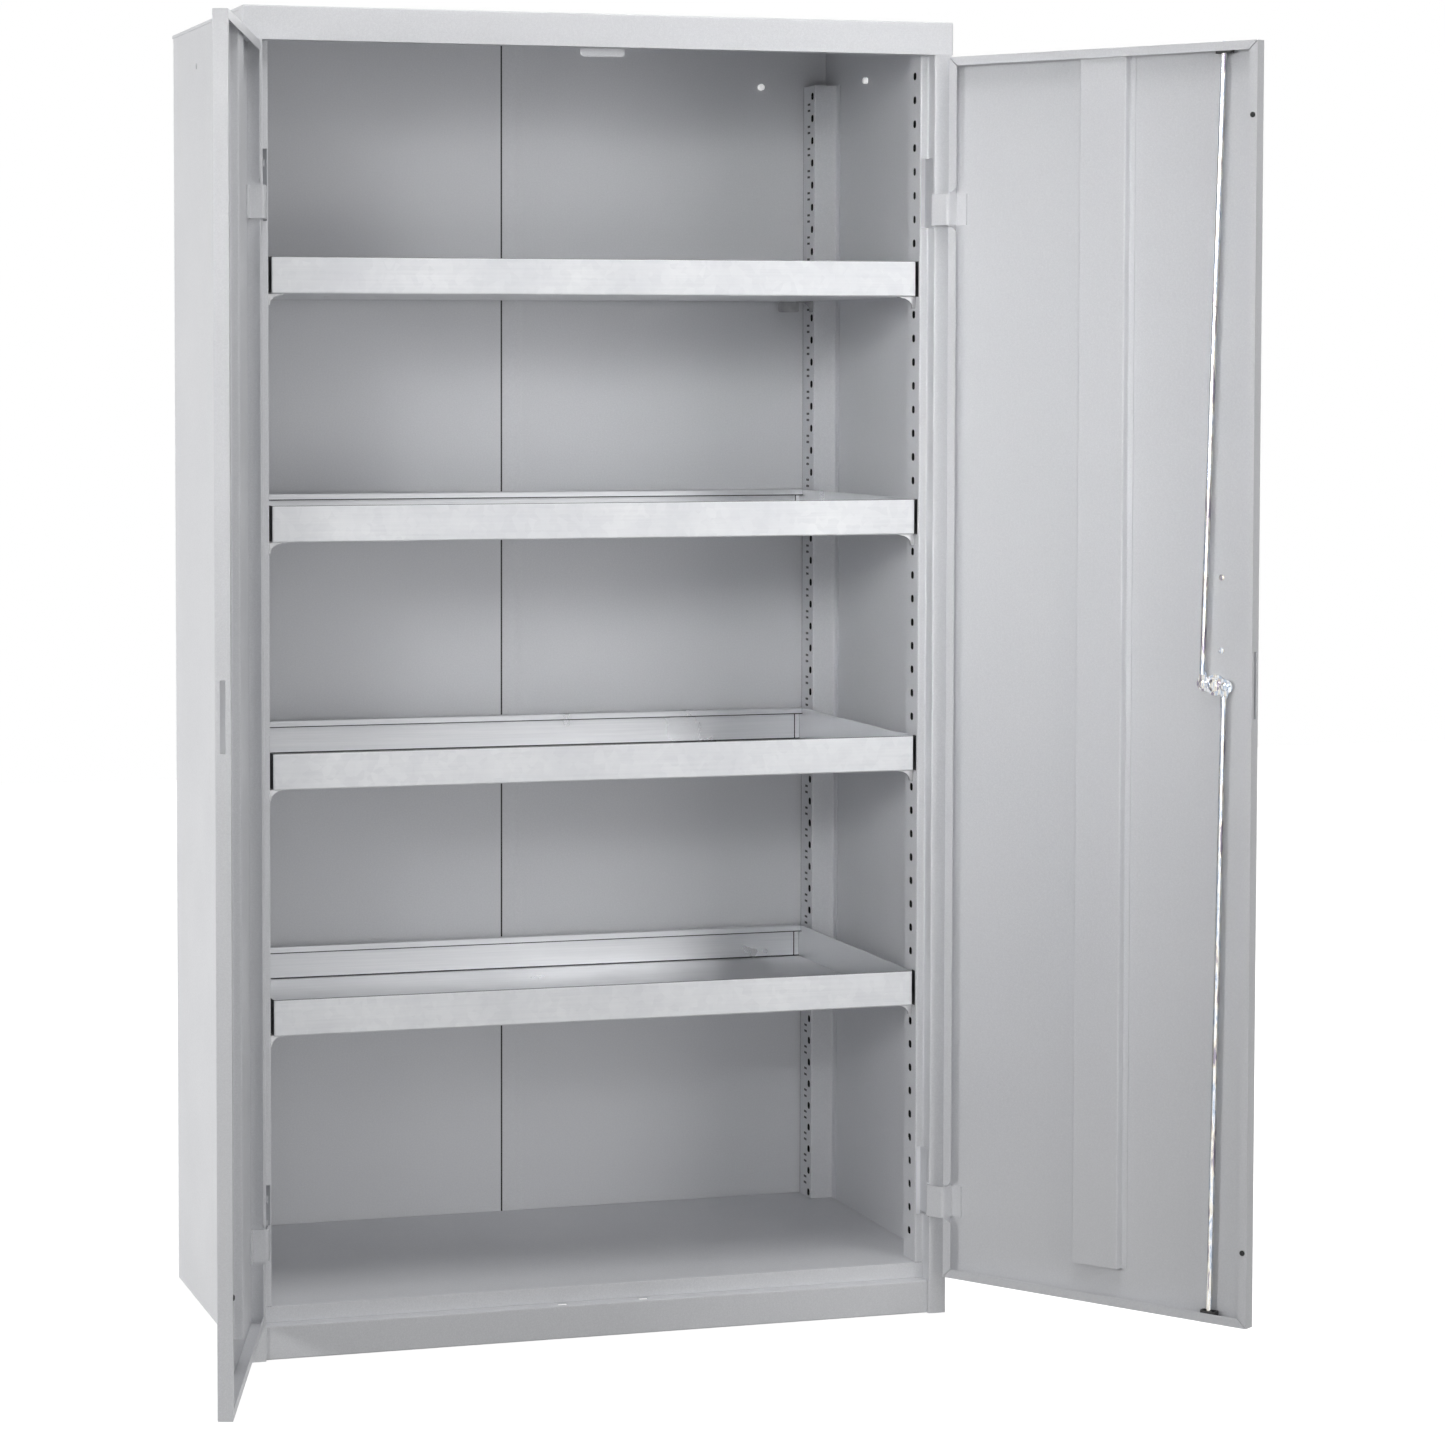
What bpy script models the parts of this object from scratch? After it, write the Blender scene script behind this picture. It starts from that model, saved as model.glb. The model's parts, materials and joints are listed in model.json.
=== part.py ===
"""Two-door steel cupboard with four sump trays, standing with both doors open.

Lengths are in metres. X runs along the front, +Y to the back and +Z up. The pieces are drawn
with the doors closed and the front face at Y = 0, then the doors turn open about their pins.
"""
import math

import bmesh
import bpy
from mathutils import Matrix, Vector

# Carcass
HEIGHT = 1.800
WIDTH = 1.000
DEPTH = 0.500
SHEET = 0.0012
BACK_SHEET = 0.0010
BEND_RADIUS = 0.0020
BEND_STEPS = 2
SEAT_GAP = 0.0003
OVERRUN = 0.004

# Roof cap and its front fascia
FASCIA_HEIGHT = 0.0445
FASCIA_RETURN = 0.023
FASCIA_LIP = 0.0115
ROOF_HEM = 0.005

# Folded front post of each side panel
POST_RECESS = 0.023
POST_RETURN_WIDTH = 0.0255
POST_FACE_WIDTH = 0.012
POST_STRIP_DEPTH = 0.045
POST_TAIL = 0.025
REAR_FLANGE = 0.018

# Shelf slots
SLOT_PITCH = 0.03305
SLOT_TOP_DROP = 0.0715
SLOT_WIDTH = 0.011
SLOT_HEIGHT = 0.0105
SLOT_CORNER = 0.0024
FRONT_SLOT_FOOT = 0.020
REAR_SLOT_FOOT = 0.006
FRONT_SLOT_SETBACK = 0.022
REAR_SLOT_SETBACK = 0.010

# Rear uprights
UPRIGHT_SETBACK = 0.053
UPRIGHT_DEPTH = 0.0468
UPRIGHT_LEG = 0.013
UPRIGHT_TOP_DROP = 0.056

# Back panels, joined by a stepped overlap
BACK_OVERLAP = 0.020
BACK_STEP_RUN = 0.012
BACK_BOTTOM_Z = 0.010
BACK_HOLE_INSET = 0.068
FIXING_HOLE_RADIUS = 0.0046
FIXING_HOLE_DROP = 0.057
SIDE_HOLE_SETBACK = 0.175

# Plinth and base deck
PLINTH_TOP_Z = 0.046
PLINTH_SETBACK = 0.005
PLINTH_FOOT = 0.025
PLINTH_LEDGE = 0.055
DECK_HEIGHT = 0.0215
DECK_RETURN = 0.015

# Trays and their clips
TRAY_COUNT = 4
TRAY_TOP_DROP = 0.2568
TRAY_STEP_SLOTS = 10
TRAY_HEIGHT = 0.049
TRAY_SIDE_GAP = 0.0045
TRAY_FRONT_SETBACK = 0.003
TRAY_REAR_GAP = 0.011
TRAY_SHEET = 0.0012
TRAY_RIM = 0.012
TRAY_RIM_DROP = 0.0095
CLIP_SHEET = 0.0012
CLIP_REACH = 0.022
CLIP_DROP = 0.016
CLIP_WIDTH = 0.014
CLIP_TONGUE_WIDTH = 0.006
CLIP_TONGUE_HEIGHT = 0.008
CLIP_HOOK_THICKNESS = 0.0018
CLIP_HOOK_DROP = 0.006
CLIP_NECK = 0.003
CLIP_CURVE_STEPS = 4
REAR_PLATE_WIDTH = 0.032
REAR_PLATE_REACH = 0.050
REAR_PLATE_CORNER = 0.003

# Doors, as folded pans
DOOR_SHEET = 0.0012
DOOR_FACE_Y = 0.0025
DOOR_DEPTH = 0.019
DOOR_TOP_GAP = 0.0045
DOOR_BOTTOM_GAP = 0.009
DOOR_HINGE_GAP = 0.0025
DOOR_HALF_GAP = 0.0015
DOOR_LIP = 0.012
DOOR_MITRE_SLIT = 0.0008
RIGHT_DOOR_OPEN_DEG = 126.0
LEFT_DOOR_OPEN_DEG = 106.6
EDGE_SLOT_RISE = 0.0048
EDGE_SLOT_LENGTH = 0.0885
EDGE_SLOT_WIDTH = 0.0065
STIFFENER_SHEET = 0.0010
STIFFENER_SHIFT = 0.0032
STIFFENER_WIDTH = 0.0705
STIFFENER_HEIGHT = 0.0130
STIFFENER_FOOT = 0.0082
STIFFENER_FOOT_RISE = 0.050
BUFFER_RADIUS = 0.0036
BUFFER_HEIGHT = 0.0016
BUFFER_UPPER_DROP = 0.097
BUFFER_LOWER_RISE = 0.101
LEFT_BUFFER_RISE = 0.150

# Hinges: cranked arms on pins inside the front posts
PIN_INSET = 0.010
PIN_Y = 0.0062
PIN_RADIUS = 0.0028
PIN_CLEARANCE = 0.0003
PIN_TAIL = 0.005
BARREL_RADIUS = 0.0047
ARM_THICKNESS = 0.0025
ARM_HEIGHT = 0.043
ARM_SKIN_CLEARANCE = 0.0005
ARM_ELBOW_RADIUS = 0.0040
ARM_LEAF = 0.0155
ARM_BASE_ANGLE_DEG = 50.0
ARM_POST_GAP = 0.0004
UPPER_HINGE_DROP = 0.2305
LOWER_HINGE_RISE = 0.084
WINDOW_MARGIN = 0.0025
WINDOW_RISE = 0.050
WINDOW_FACE_INSET = 0.0019
WINDOW_STEP_DEPTH = 0.0125
PIN_PLATE_THICKNESS = 0.002
PIN_PLATE_REACH = 0.007
NOTCH_MARGIN = 0.003

# Stop plate under the fascia
STOP_HALF_WIDTH = 0.0315
STOP_DROP = 0.0113
STOP_SHEET = 0.0015
STOP_CORNER = 0.005

# Rotary rod lock on the right door
LOCK_INSET = 0.0605
LOCK_RISE = 0.002
CRANK_RADIUS = 0.0162
CRANK_REST_DEG = 5.0
ROD_RADIUS = 0.004
ROD_Y = 0.0145
UPPER_GUIDE_INSET = 0.0515
LOWER_GUIDE_INSET = 0.058
ROD_SWAY = 0.0017
ROD_SLOT_LENGTH = 0.013
ROD_SLOT_WIDTH = 0.0100
ROD_TOP_MARGIN = 0.0012
ROD_BOTTOM_MARGIN = 0.0005
ROD_START = 0.012
ROD_CHAMFER = 0.0012
EYE_RADIUS = 0.0065
EYE_THICKNESS = 0.0024
EYE_CLEARANCE = 0.0004
CAM_Y = 0.0079
CAM_THICKNESS = 0.0023
CAM_END_RADIUS = 0.010
CAM_BOSS_RADIUS = 0.0085
CAM_BOSS_HEIGHT = 0.005
RIVET_RADIUS = 0.003
RIVET_HEAD_RADIUS = 0.0055
RIVET_HEAD_HEIGHT = 0.0036
SPINDLE_SIZE = 0.008
SPINDLE_HOLE_RADIUS = 0.0065
NUT_RADIUS = 0.014
GUIDE_WIDTH = 0.024
GUIDE_HEIGHT = 0.0135
GUIDE_FRONT_Y = 0.007
GUIDE_HOLE_LENGTH = 0.018
GUIDE_TAIL = 0.019
GUIDE_TAIL_WIDTH = 0.006
GUIDE_TAIL_HEIGHT = 0.003

# Outside handle
HANDLE_BASE_SHIFT = 0.004
HANDLE_BASE_WIDTH = 0.032
HANDLE_BASE_DROP = 0.025
HANDLE_BASE_RISE = 0.169
HANDLE_BASE_THICKNESS = 0.007
HANDLE_BASE_CORNER = 0.008
HUB_RADIUS = 0.014
HUB_HEIGHT = 0.019
LEVER_LENGTH = 0.120
LEVER_ROOT_WIDTH = 0.021
LEVER_TIP_WIDTH = 0.015
LEVER_THICKNESS = 0.009
KEY_BARREL_RADIUS = 0.0075
KEY_BARREL_DEPTH = 0.010
KEY_BARREL_PROUD = 0.0012
KEY_SLOT_LENGTH = 0.008
KEY_SLOT_WIDTH = 0.0014
KEY_SLOT_DEPTH = 0.003
SCREW_SHIFT = 0.0065
SCREW_UPPER_RISE = 0.1428
SCREW_LOWER_RISE = 0.0458
SCREW_HEAD_RADIUS = 0.004
SCREW_HEAD_HEIGHT = 0.0022

# Facets of round pieces
FINE_SIDES = 32
SMALL_SIDES = 20
HOLE_SIDES = 10

# Places that follow from the sizes above
SKIN_X = WIDTH / 2 - SHEET - SEAT_GAP
SKIN_INNER_X = SKIN_X - SHEET
STEP_X = SKIN_X - POST_RETURN_WIDTH
STRIP_X = STEP_X - POST_FACE_WIDTH
STRIP_REAR_Y = POST_RECESS + POST_STRIP_DEPTH
FASCIA_BOTTOM_Z = HEIGHT - FASCIA_HEIGHT
SKIN_TOP_Z = HEIGHT - SHEET - SEAT_GAP
DECK_TOP_Z = PLINTH_TOP_Z + SEAT_GAP + DECK_HEIGHT
SIDE_REAR_Y = DEPTH - SHEET - SEAT_GAP
BACK_Y = SIDE_REAR_Y - SHEET - SEAT_GAP - BACK_SHEET
BACK_STEP_Y = BACK_Y - BACK_SHEET - SEAT_GAP
SIDE_HOLE_Y = DEPTH - SIDE_HOLE_SETBACK
BACK_HOLE_X = STRIP_X - BACK_HOLE_INSET
FIXING_HOLE_Z = HEIGHT - FIXING_HOLE_DROP
UPRIGHT_FRONT_Y = DEPTH - UPRIGHT_SETBACK
UPRIGHT_TOP_Z = HEIGHT - UPRIGHT_TOP_DROP
SLOT_TOP_Z = HEIGHT - SLOT_TOP_DROP
TRAY_STEP = TRAY_STEP_SLOTS * SLOT_PITCH
TRAY_TOP_Z = SLOT_TOP_Z - TRAY_TOP_DROP
TRAY_HALF_WIDTH = STRIP_X - TRAY_SIDE_GAP
TRAY_FRONT_Y = POST_RECESS + TRAY_FRONT_SETBACK
TRAY_REAR_Y = DEPTH - TRAY_REAR_GAP
DOOR_HINGE_X = STEP_X - DOOR_HINGE_GAP
DOOR_BACK_Y = DOOR_FACE_Y + DOOR_DEPTH
DOOR_TOP_Z = FASCIA_BOTTOM_Z - DOOR_TOP_GAP
DOOR_BOTTOM_Z = PLINTH_TOP_Z + DOOR_BOTTOM_GAP
DOOR_MIDDLE_Z = (DOOR_TOP_Z + DOOR_BOTTOM_Z) / 2
PANEL_INNER_Y = DOOR_FACE_Y + DOOR_SHEET
EDGE_SLOT_Z = DOOR_MIDDLE_Z + EDGE_SLOT_RISE
STIFFENER_X = (DOOR_HALF_GAP + DOOR_HINGE_X) / 2 - STIFFENER_SHIFT
STIFFENER_BOTTOM_Z = DOOR_BOTTOM_Z + STIFFENER_FOOT_RISE
BUFFER_UPPER_Z = DOOR_TOP_Z - BUFFER_UPPER_DROP
BUFFER_LOWER_Z = DOOR_BOTTOM_Z + BUFFER_LOWER_RISE
LEFT_BUFFER_Z = DOOR_BOTTOM_Z + LEFT_BUFFER_RISE
PIN_X = SKIN_X - PIN_INSET
UPPER_HINGE_Z = DOOR_TOP_Z - UPPER_HINGE_DROP
LOWER_HINGE_Z = DOOR_BOTTOM_Z + LOWER_HINGE_RISE
LOCK_X = DOOR_HALF_GAP + LOCK_INSET
LOCK_Z = DOOR_MIDDLE_Z + LOCK_RISE
UPPER_GUIDE_X = DOOR_HALF_GAP + UPPER_GUIDE_INSET
LOWER_GUIDE_X = DOOR_HALF_GAP + LOWER_GUIDE_INSET
HANDLE_BASE_X = LOCK_X - HANDLE_BASE_SHIFT
HANDLE_BASE_LOW_Z = LOCK_Z - HANDLE_BASE_DROP
HANDLE_BASE_HIGH_Z = LOCK_Z + HANDLE_BASE_RISE
SCREW_X = LOCK_X - SCREW_SHIFT
SCREW_UPPER_Z = LOCK_Z + SCREW_UPPER_RISE
SCREW_LOWER_Z = LOCK_Z + SCREW_LOWER_RISE
ORIGIN_Y = PLINTH_SETBACK + PLINTH_FOOT / 2
SIDES = {"left": -1, "right": 1}


def remove_everything():
    for item in list(bpy.data.objects):
        bpy.data.objects.remove(item, do_unlink=True)


def finish_material(name, colour, roughness, metallic):
    made = bpy.data.materials.new(name)
    made.use_nodes = True
    shader = made.node_tree.nodes["Principled BSDF"]
    shader.inputs["Base Color"].default_value = (*colour, 1)
    shader.inputs["Roughness"].default_value = roughness
    shader.inputs["Metallic"].default_value = metallic
    return made


# Outlines

def round_corners(points, radii, steps=BEND_STEPS):
    """Turn each inner corner of an open path into an arc with its own radius."""
    path = [Vector(points[0])]
    for before, corner, after, radius in zip(points, points[1:], points[2:], radii):
        corner = Vector(corner)
        back = (Vector(before) - corner).normalized()
        ahead = (Vector(after) - corner).normalized()
        half = back.angle(ahead) / 2
        centre = corner + (back + ahead).normalized() * (radius / math.sin(half))
        start = corner + back * (radius / math.tan(half)) - centre
        end = corner + ahead * (radius / math.tan(half)) - centre
        turn = math.atan2(start.x * end.y - start.y * end.x, start.dot(end))
        for k in range(steps + 1):
            path.append(centre + Matrix.Rotation(turn * k / steps, 2) @ start)
    path.append(Vector(points[-1]))
    return path


def folded_outline(points, thickness, radii=None):
    """Outline of a folded sheet: its face line, and the same line stepped to its left."""
    path = round_corners(points, radii or [BEND_RADIUS] * (len(points) - 2))
    behind = []
    for i, point in enumerate(path):
        arriving = (point - path[i - 1]).normalized() if i else (path[1] - point).normalized()
        leaving = (path[i + 1] - point).normalized() if i + 1 < len(path) else arriving
        left = Vector((-arriving.y, arriving.x))
        mitre = (left + Vector((-leaving.y, leaving.x))).normalized()
        behind.append(point + mitre * (thickness / mitre.dot(left)))
    return path + behind[::-1]


def arc(centre, radius, start_deg, end_deg, steps):
    """Points on an arc, both ends included."""
    points = []
    for k in range(steps + 1):
        angle = math.radians(start_deg + (end_deg - start_deg) * k / steps)
        points.append((centre[0] + radius * math.cos(angle), centre[1] + radius * math.sin(angle)))
    return points


def rounded_rectangle(low, high, radius, steps=3):
    corners = (((high[0] - radius, high[1] - radius), 0), ((low[0] + radius, high[1] - radius), 90),
               ((low[0] + radius, low[1] + radius), 180), ((high[0] - radius, low[1] + radius), 270))
    return [p for centre, turn in corners for p in arc(centre, radius, turn, turn + 90, steps)]


def mirrored(points, side):
    return [(side * p[0], p[1]) for p in points]


# Solids

LIFTS = {
    "xy": lambda a, b, c: (a, b, c),
    "yz": lambda a, b, c: (c, a, b),
    "xz": lambda a, b, c: (a, c, b),
}


def object_from(name, shape):
    bmesh.ops.recalc_face_normals(shape, faces=shape.faces)
    mesh = bpy.data.meshes.new(name)
    shape.to_mesh(mesh)
    shape.free()
    made = bpy.data.objects.new(name, mesh)
    bpy.context.scene.collection.objects.link(made)
    return made


def add_prism(shape, outline, low, high, plane):
    """Extrude a closed outline along the axis that its plane leaves out."""
    lift = LIFTS[plane]
    start = shape.faces.new([shape.verts.new(lift(p[0], p[1], low)) for p in outline])
    moved = bmesh.ops.extrude_face_region(shape, geom=[start])["geom"]
    ends = [v for v in moved if isinstance(v, bmesh.types.BMVert)]
    bmesh.ops.translate(shape, verts=ends, vec=lift(0, 0, high - low))


def prism(name, outline, low, high, plane="xy"):
    shape = bmesh.new()
    add_prism(shape, outline, low, high, plane)
    return object_from(name, shape)


def add_box(shape, low, high):
    corners = [(low[0], low[1]), (high[0], low[1]), (high[0], high[1]), (low[0], high[1])]
    add_prism(shape, corners, low[2], high[2], "xy")


def boxes(name, spans):
    """One object holding a box for each (low corner, high corner)."""
    shape = bmesh.new()
    for low, high in spans:
        add_box(shape, [min(a, b) for a, b in zip(low, high)], [max(a, b) for a, b in zip(low, high)])
    return object_from(name, shape)


def box(name, low, high):
    return boxes(name, [(low, high)])


def turned(name, profile, centre, axis="Z", sides=FINE_SIDES):
    """Solid of revolution: profile is (radius, height) pairs from bottom to top."""
    shape = bmesh.new()
    rings = []
    for radius, height in profile:
        ring = []
        for k in range(sides):
            angle = math.tau * k / sides
            ring.append(shape.verts.new((radius * math.cos(angle), radius * math.sin(angle), height)))
        rings.append(ring)
    for lower, upper in zip(rings, rings[1:]):
        for k in range(sides):
            j = (k + 1) % sides
            shape.faces.new((lower[k], lower[j], upper[j], upper[k]))
    shape.faces.new(rings[0][::-1])
    shape.faces.new(rings[-1])
    if axis != "Z":
        turn_about = "X" if axis == "Y" else "Y"
        shape.transform(Matrix.Rotation(math.radians(-90), 4, turn_about))
    shape.transform(Matrix.Translation(centre))
    made = object_from(name, shape)
    smooth_round(made)
    return made


def smooth_round(piece):
    piece.data.shade_smooth()
    piece.data.set_sharp_from_angle(angle=math.radians(40))


def combine(piece, other, operation):
    """Boolean of two objects, kept in the first; the second is used up."""
    tool = piece.modifiers.new("shape", "BOOLEAN")
    tool.operation = operation
    tool.object = other
    tool.solver = "EXACT"
    evaluated = piece.evaluated_get(bpy.context.evaluated_depsgraph_get())
    shaped = bpy.data.meshes.new_from_object(evaluated)
    piece.modifiers.clear()
    shaped.name = piece.name
    piece.data = shaped
    bpy.data.objects.remove(other, do_unlink=True)
    return piece


def cut(piece, *tools):
    for tool in tools:
        combine(piece, tool, "DIFFERENCE")
    return piece


def join(piece, *others):
    for other in others:
        combine(piece, other, "UNION")
    return piece


def soften(piece, width, keep):
    """Round the edges that keep(edge vertices) picks out."""
    shape = bmesh.new()
    shape.from_mesh(piece.data)
    edges = [e for e in shape.edges if keep([v.co for v in e.verts])]
    bmesh.ops.bevel(shape, geom=edges, offset=width, segments=BEND_STEPS, affect="EDGES", profile=0.5)
    shape.to_mesh(piece.data)
    shape.free()
    return piece


def place(piece, material, parent):
    """Give the piece its finish and hang it on its parent, staying where it was drawn."""
    piece.data.materials.clear()
    piece.data.materials.append(material)
    home = parent["drawn_at"]
    piece.data.transform(Matrix.Translation(-Vector(home)))
    piece.parent = parent
    return piece


def pivot(name, drawn_at, parent=None, axis="Z", angle_deg=0):
    """Empty on a joint's axis. Its children are drawn unturned, then turn with it."""
    made = bpy.data.objects.new(name, None)
    bpy.context.scene.collection.objects.link(made)
    made["drawn_at"] = drawn_at
    made.parent = parent
    home = Vector(parent["drawn_at"]) if parent else Vector((0, ORIGIN_Y, 0))
    made.location = Vector(drawn_at) - home
    made.rotation_euler["XYZ".index(axis)] = math.radians(angle_deg)
    return made


# Carcass pieces

def slot_outline(y, z):
    """Tall slot with clipped corners, in the YZ plane."""
    w = SLOT_WIDTH / 2
    h = SLOT_HEIGHT / 2
    c = SLOT_CORNER
    ring = ((w, h - c), (w - c, h), (c - w, h), (-w, h - c), (-w, c - h), (c - w, -h), (w - c, -h), (w, c - h))
    return [(y + dy, z + dz) for dy, dz in ring]


def slot_cutter(foot, y, side):
    """Row of slots down to a foot above the deck."""
    shape = bmesh.new()
    for k in range(math.floor((SLOT_TOP_Z - DECK_TOP_Z - foot) / SLOT_PITCH) + 1):
        z = SLOT_TOP_Z - k * SLOT_PITCH
        ends = sorted((side * (STRIP_X - OVERRUN), side * (STRIP_X + OVERRUN)))
        add_prism(shape, slot_outline(y, z), *ends, "yz")
    return object_from("slot_cutter", shape)


def hinge_levels():
    return {"upper": UPPER_HINGE_Z, "lower": LOWER_HINGE_Z}


def side_panel(word, side):
    """Skin, rear flange and hollow front post, folded from one sheet."""
    face = [(STRIP_X + POST_TAIL, STRIP_REAR_Y), (STRIP_X, STRIP_REAR_Y), (STRIP_X, POST_RECESS),
            (STEP_X, POST_RECESS), (STEP_X, 0), (SKIN_X, 0), (SKIN_X, SIDE_REAR_Y),
            (SKIN_X - REAR_FLANGE, SIDE_REAR_Y)]
    outline = mirrored(folded_outline(face, SHEET), side)
    panel = prism("side_panel_" + word, outline, 0, SKIN_TOP_Z)
    inside_x = side * (STRIP_X - OVERRUN)
    post_top = FASCIA_BOTTOM_Z - SEAT_GAP
    post_foot = DECK_TOP_Z + SEAT_GAP
    spans = [
        ((inside_x, -OVERRUN, post_top),
         (side * (SKIN_INNER_X - SEAT_GAP), STRIP_REAR_Y + OVERRUN, HEIGHT)),
        ((inside_x, -OVERRUN, post_top), (side * WIDTH, BEND_RADIUS + SEAT_GAP, HEIGHT)),
        ((inside_x, -OVERRUN, -OVERRUN), (side * (STEP_X - SEAT_GAP), STRIP_REAR_Y + OVERRUN, post_foot)),
    ]
    window_back = POST_RECESS + SHEET + SEAT_GAP
    window_side = side * (STEP_X + SHEET + SEAT_GAP)
    for low in hinge_levels().values():
        spans.append(((side * (STRIP_X + WINDOW_FACE_INSET), POST_RECESS - WINDOW_STEP_DEPTH, low - WINDOW_MARGIN),
                      (window_side, window_back, low + ARM_HEIGHT + WINDOW_RISE)))
        spans.append(((side * (STEP_X - SEAT_GAP), SHEET, low - WINDOW_MARGIN - SEAT_GAP),
                      (window_side, window_back, low + ARM_HEIGHT + WINDOW_MARGIN)))
    for low, high in spans:
        cut(panel, box("cutter", low, high))
    hole = turned("cutter", [(FIXING_HOLE_RADIUS, -OVERRUN), (FIXING_HOLE_RADIUS, OVERRUN)],
                  (side * SKIN_X, SIDE_HOLE_Y, FIXING_HOLE_Z), "X", HOLE_SIDES)
    return cut(panel, hole, slot_cutter(FRONT_SLOT_FOOT, POST_RECESS + FRONT_SLOT_SETBACK, side))


def rear_upright(word, side):
    leg_x = SKIN_INNER_X - SEAT_GAP - SHEET
    face = [(STRIP_X, UPRIGHT_FRONT_Y + UPRIGHT_DEPTH), (STRIP_X, UPRIGHT_FRONT_Y),
            (leg_x, UPRIGHT_FRONT_Y), (leg_x, UPRIGHT_FRONT_Y - UPRIGHT_LEG)]
    outline = mirrored(folded_outline(face, SHEET), side)
    upright = prism("rear_upright_" + word, outline, DECK_TOP_Z + SEAT_GAP, UPRIGHT_TOP_Z)
    return cut(upright, slot_cutter(REAR_SLOT_FOOT, UPRIGHT_FRONT_Y + REAR_SLOT_SETBACK, side))


def back_panel(word, side):
    """Left panel is flat; the right one steps forward over it at the middle."""
    outer = SKIN_INNER_X - BEND_RADIUS / 2
    lap = BACK_OVERLAP / 2
    if side > 0:
        face = [(-lap, BACK_STEP_Y), (lap, BACK_STEP_Y), (lap + BACK_STEP_RUN, BACK_Y), (outer, BACK_Y)]
    else:
        face = [(-outer, BACK_Y), (lap - SEAT_GAP - BACK_SHEET, BACK_Y)]
    outline = folded_outline(face, BACK_SHEET)
    panel = prism("back_panel_" + word, outline, BACK_BOTTOM_Z, SKIN_TOP_Z)
    hole = turned("cutter", [(FIXING_HOLE_RADIUS, -OVERRUN), (FIXING_HOLE_RADIUS, OVERRUN)],
                  (side * BACK_HOLE_X, BACK_Y, FIXING_HOLE_Z), "Y", HOLE_SIDES)
    return cut(panel, hole)


def rod_slots(name, x, z):
    """Cutter for the pair of slots that the lock's rods enter."""
    spans = []
    for side in SIDES.values():
        spans.append(((side * x - ROD_SLOT_LENGTH / 2, ROD_Y - ROD_SLOT_WIDTH / 2, z - OVERRUN),
                      (side * x + ROD_SLOT_LENGTH / 2, ROD_Y + ROD_SLOT_WIDTH / 2, z + OVERRUN)))
    return boxes(name, spans)


def roof():
    """Lid over the carcass: top sheet, low hem, and the tall fascia with its return and lip."""
    lid = box("roof", (-WIDTH / 2, 0, FASCIA_BOTTOM_Z), (WIDTH / 2, DEPTH, HEIGHT))
    soften(lid, BEND_RADIUS, lambda ends: min(p.z for p in ends) > FASCIA_BOTTOM_Z + SHEET
           or abs(ends[0].z - ends[1].z) > SHEET)
    cut(lid, box("cutter", (SHEET - WIDTH / 2, SHEET, FASCIA_BOTTOM_Z - OVERRUN),
                 (WIDTH / 2 - SHEET, DEPTH - SHEET, HEIGHT - SHEET)))
    cut(lid, box("cutter", (-WIDTH, FASCIA_RETURN, FASCIA_BOTTOM_Z - OVERRUN),
                 (WIDTH, DEPTH + OVERRUN, HEIGHT - ROOF_HEM)))
    reach = SKIN_INNER_X - SEAT_GAP
    face = [(FASCIA_RETURN, FASCIA_BOTTOM_Z + FASCIA_LIP), (FASCIA_RETURN, FASCIA_BOTTOM_Z),
            (SHEET / 2, FASCIA_BOTTOM_Z)]
    fold = prism("cutter", [(p.x, p.y) for p in folded_outline(face, -SHEET)], -reach, reach, "yz")
    join(lid, fold)
    return cut(lid, rod_slots("cutter", UPPER_GUIDE_X + ROD_SWAY, FASCIA_BOTTOM_Z))


def stop_plate():
    """Plate that the doors' top lips close against."""
    low_z = FASCIA_BOTTOM_Z - STOP_DROP
    front = FASCIA_RETURN + SEAT_GAP
    right = STOP_HALF_WIDTH - STOP_CORNER
    outline = arc((-right, low_z + STOP_CORNER), STOP_CORNER, 180, 270, 4)
    outline += arc((right, low_z + STOP_CORNER), STOP_CORNER, 270, 360, 4)
    outline += [(STOP_HALF_WIDTH, FASCIA_BOTTOM_Z + FASCIA_LIP), (-STOP_HALF_WIDTH, FASCIA_BOTTOM_Z + FASCIA_LIP)]
    return prism("stop_plate", outline, front, front + STOP_SHEET, "xz")


def plinth():
    face = [(PLINTH_SETBACK + PLINTH_LEDGE, PLINTH_TOP_Z), (PLINTH_SETBACK, PLINTH_TOP_Z),
            (PLINTH_SETBACK, 0), (PLINTH_SETBACK + PLINTH_FOOT, 0)]
    reach = STEP_X - SEAT_GAP
    front = prism("plinth", folded_outline(face, SHEET), -reach, reach, "yz")
    return cut(front, rod_slots("cutter", LOWER_GUIDE_X - ROD_SWAY, PLINTH_TOP_Z))


def deck_outline(inset):
    """Plan of the base deck: narrow between the posts, wide behind them."""
    narrow = STEP_X - SEAT_GAP * 2 - inset
    wide = SKIN_INNER_X - SEAT_GAP - inset
    shoulder = STRIP_REAR_Y + SEAT_GAP + inset
    front = POST_RECESS + inset
    rear = BACK_STEP_Y - SEAT_GAP - inset
    right = [(narrow, front), (narrow, shoulder), (wide, shoulder), (wide, rear)]
    return right + [(-x, y) for x, y in reversed(right)]


def base_deck():
    low = PLINTH_TOP_Z + SEAT_GAP
    deck = prism("base_deck", deck_outline(0), low, DECK_TOP_Z)
    soften(deck, BEND_RADIUS / 2, lambda ends: min(p.z for p in ends) > DECK_TOP_Z - SHEET
           and max(p.y for p in ends) < POST_RECESS + SHEET)
    cut(deck, prism("cutter", deck_outline(SHEET), low - OVERRUN, DECK_TOP_Z - SHEET))
    reach = STEP_X - SEAT_GAP * 2 - SHEET / 2
    return join(deck, box("cutter", (-reach, POST_RECESS + SHEET / 2, low),
                          (reach, POST_RECESS + DECK_RETURN, low + SHEET)))


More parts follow.
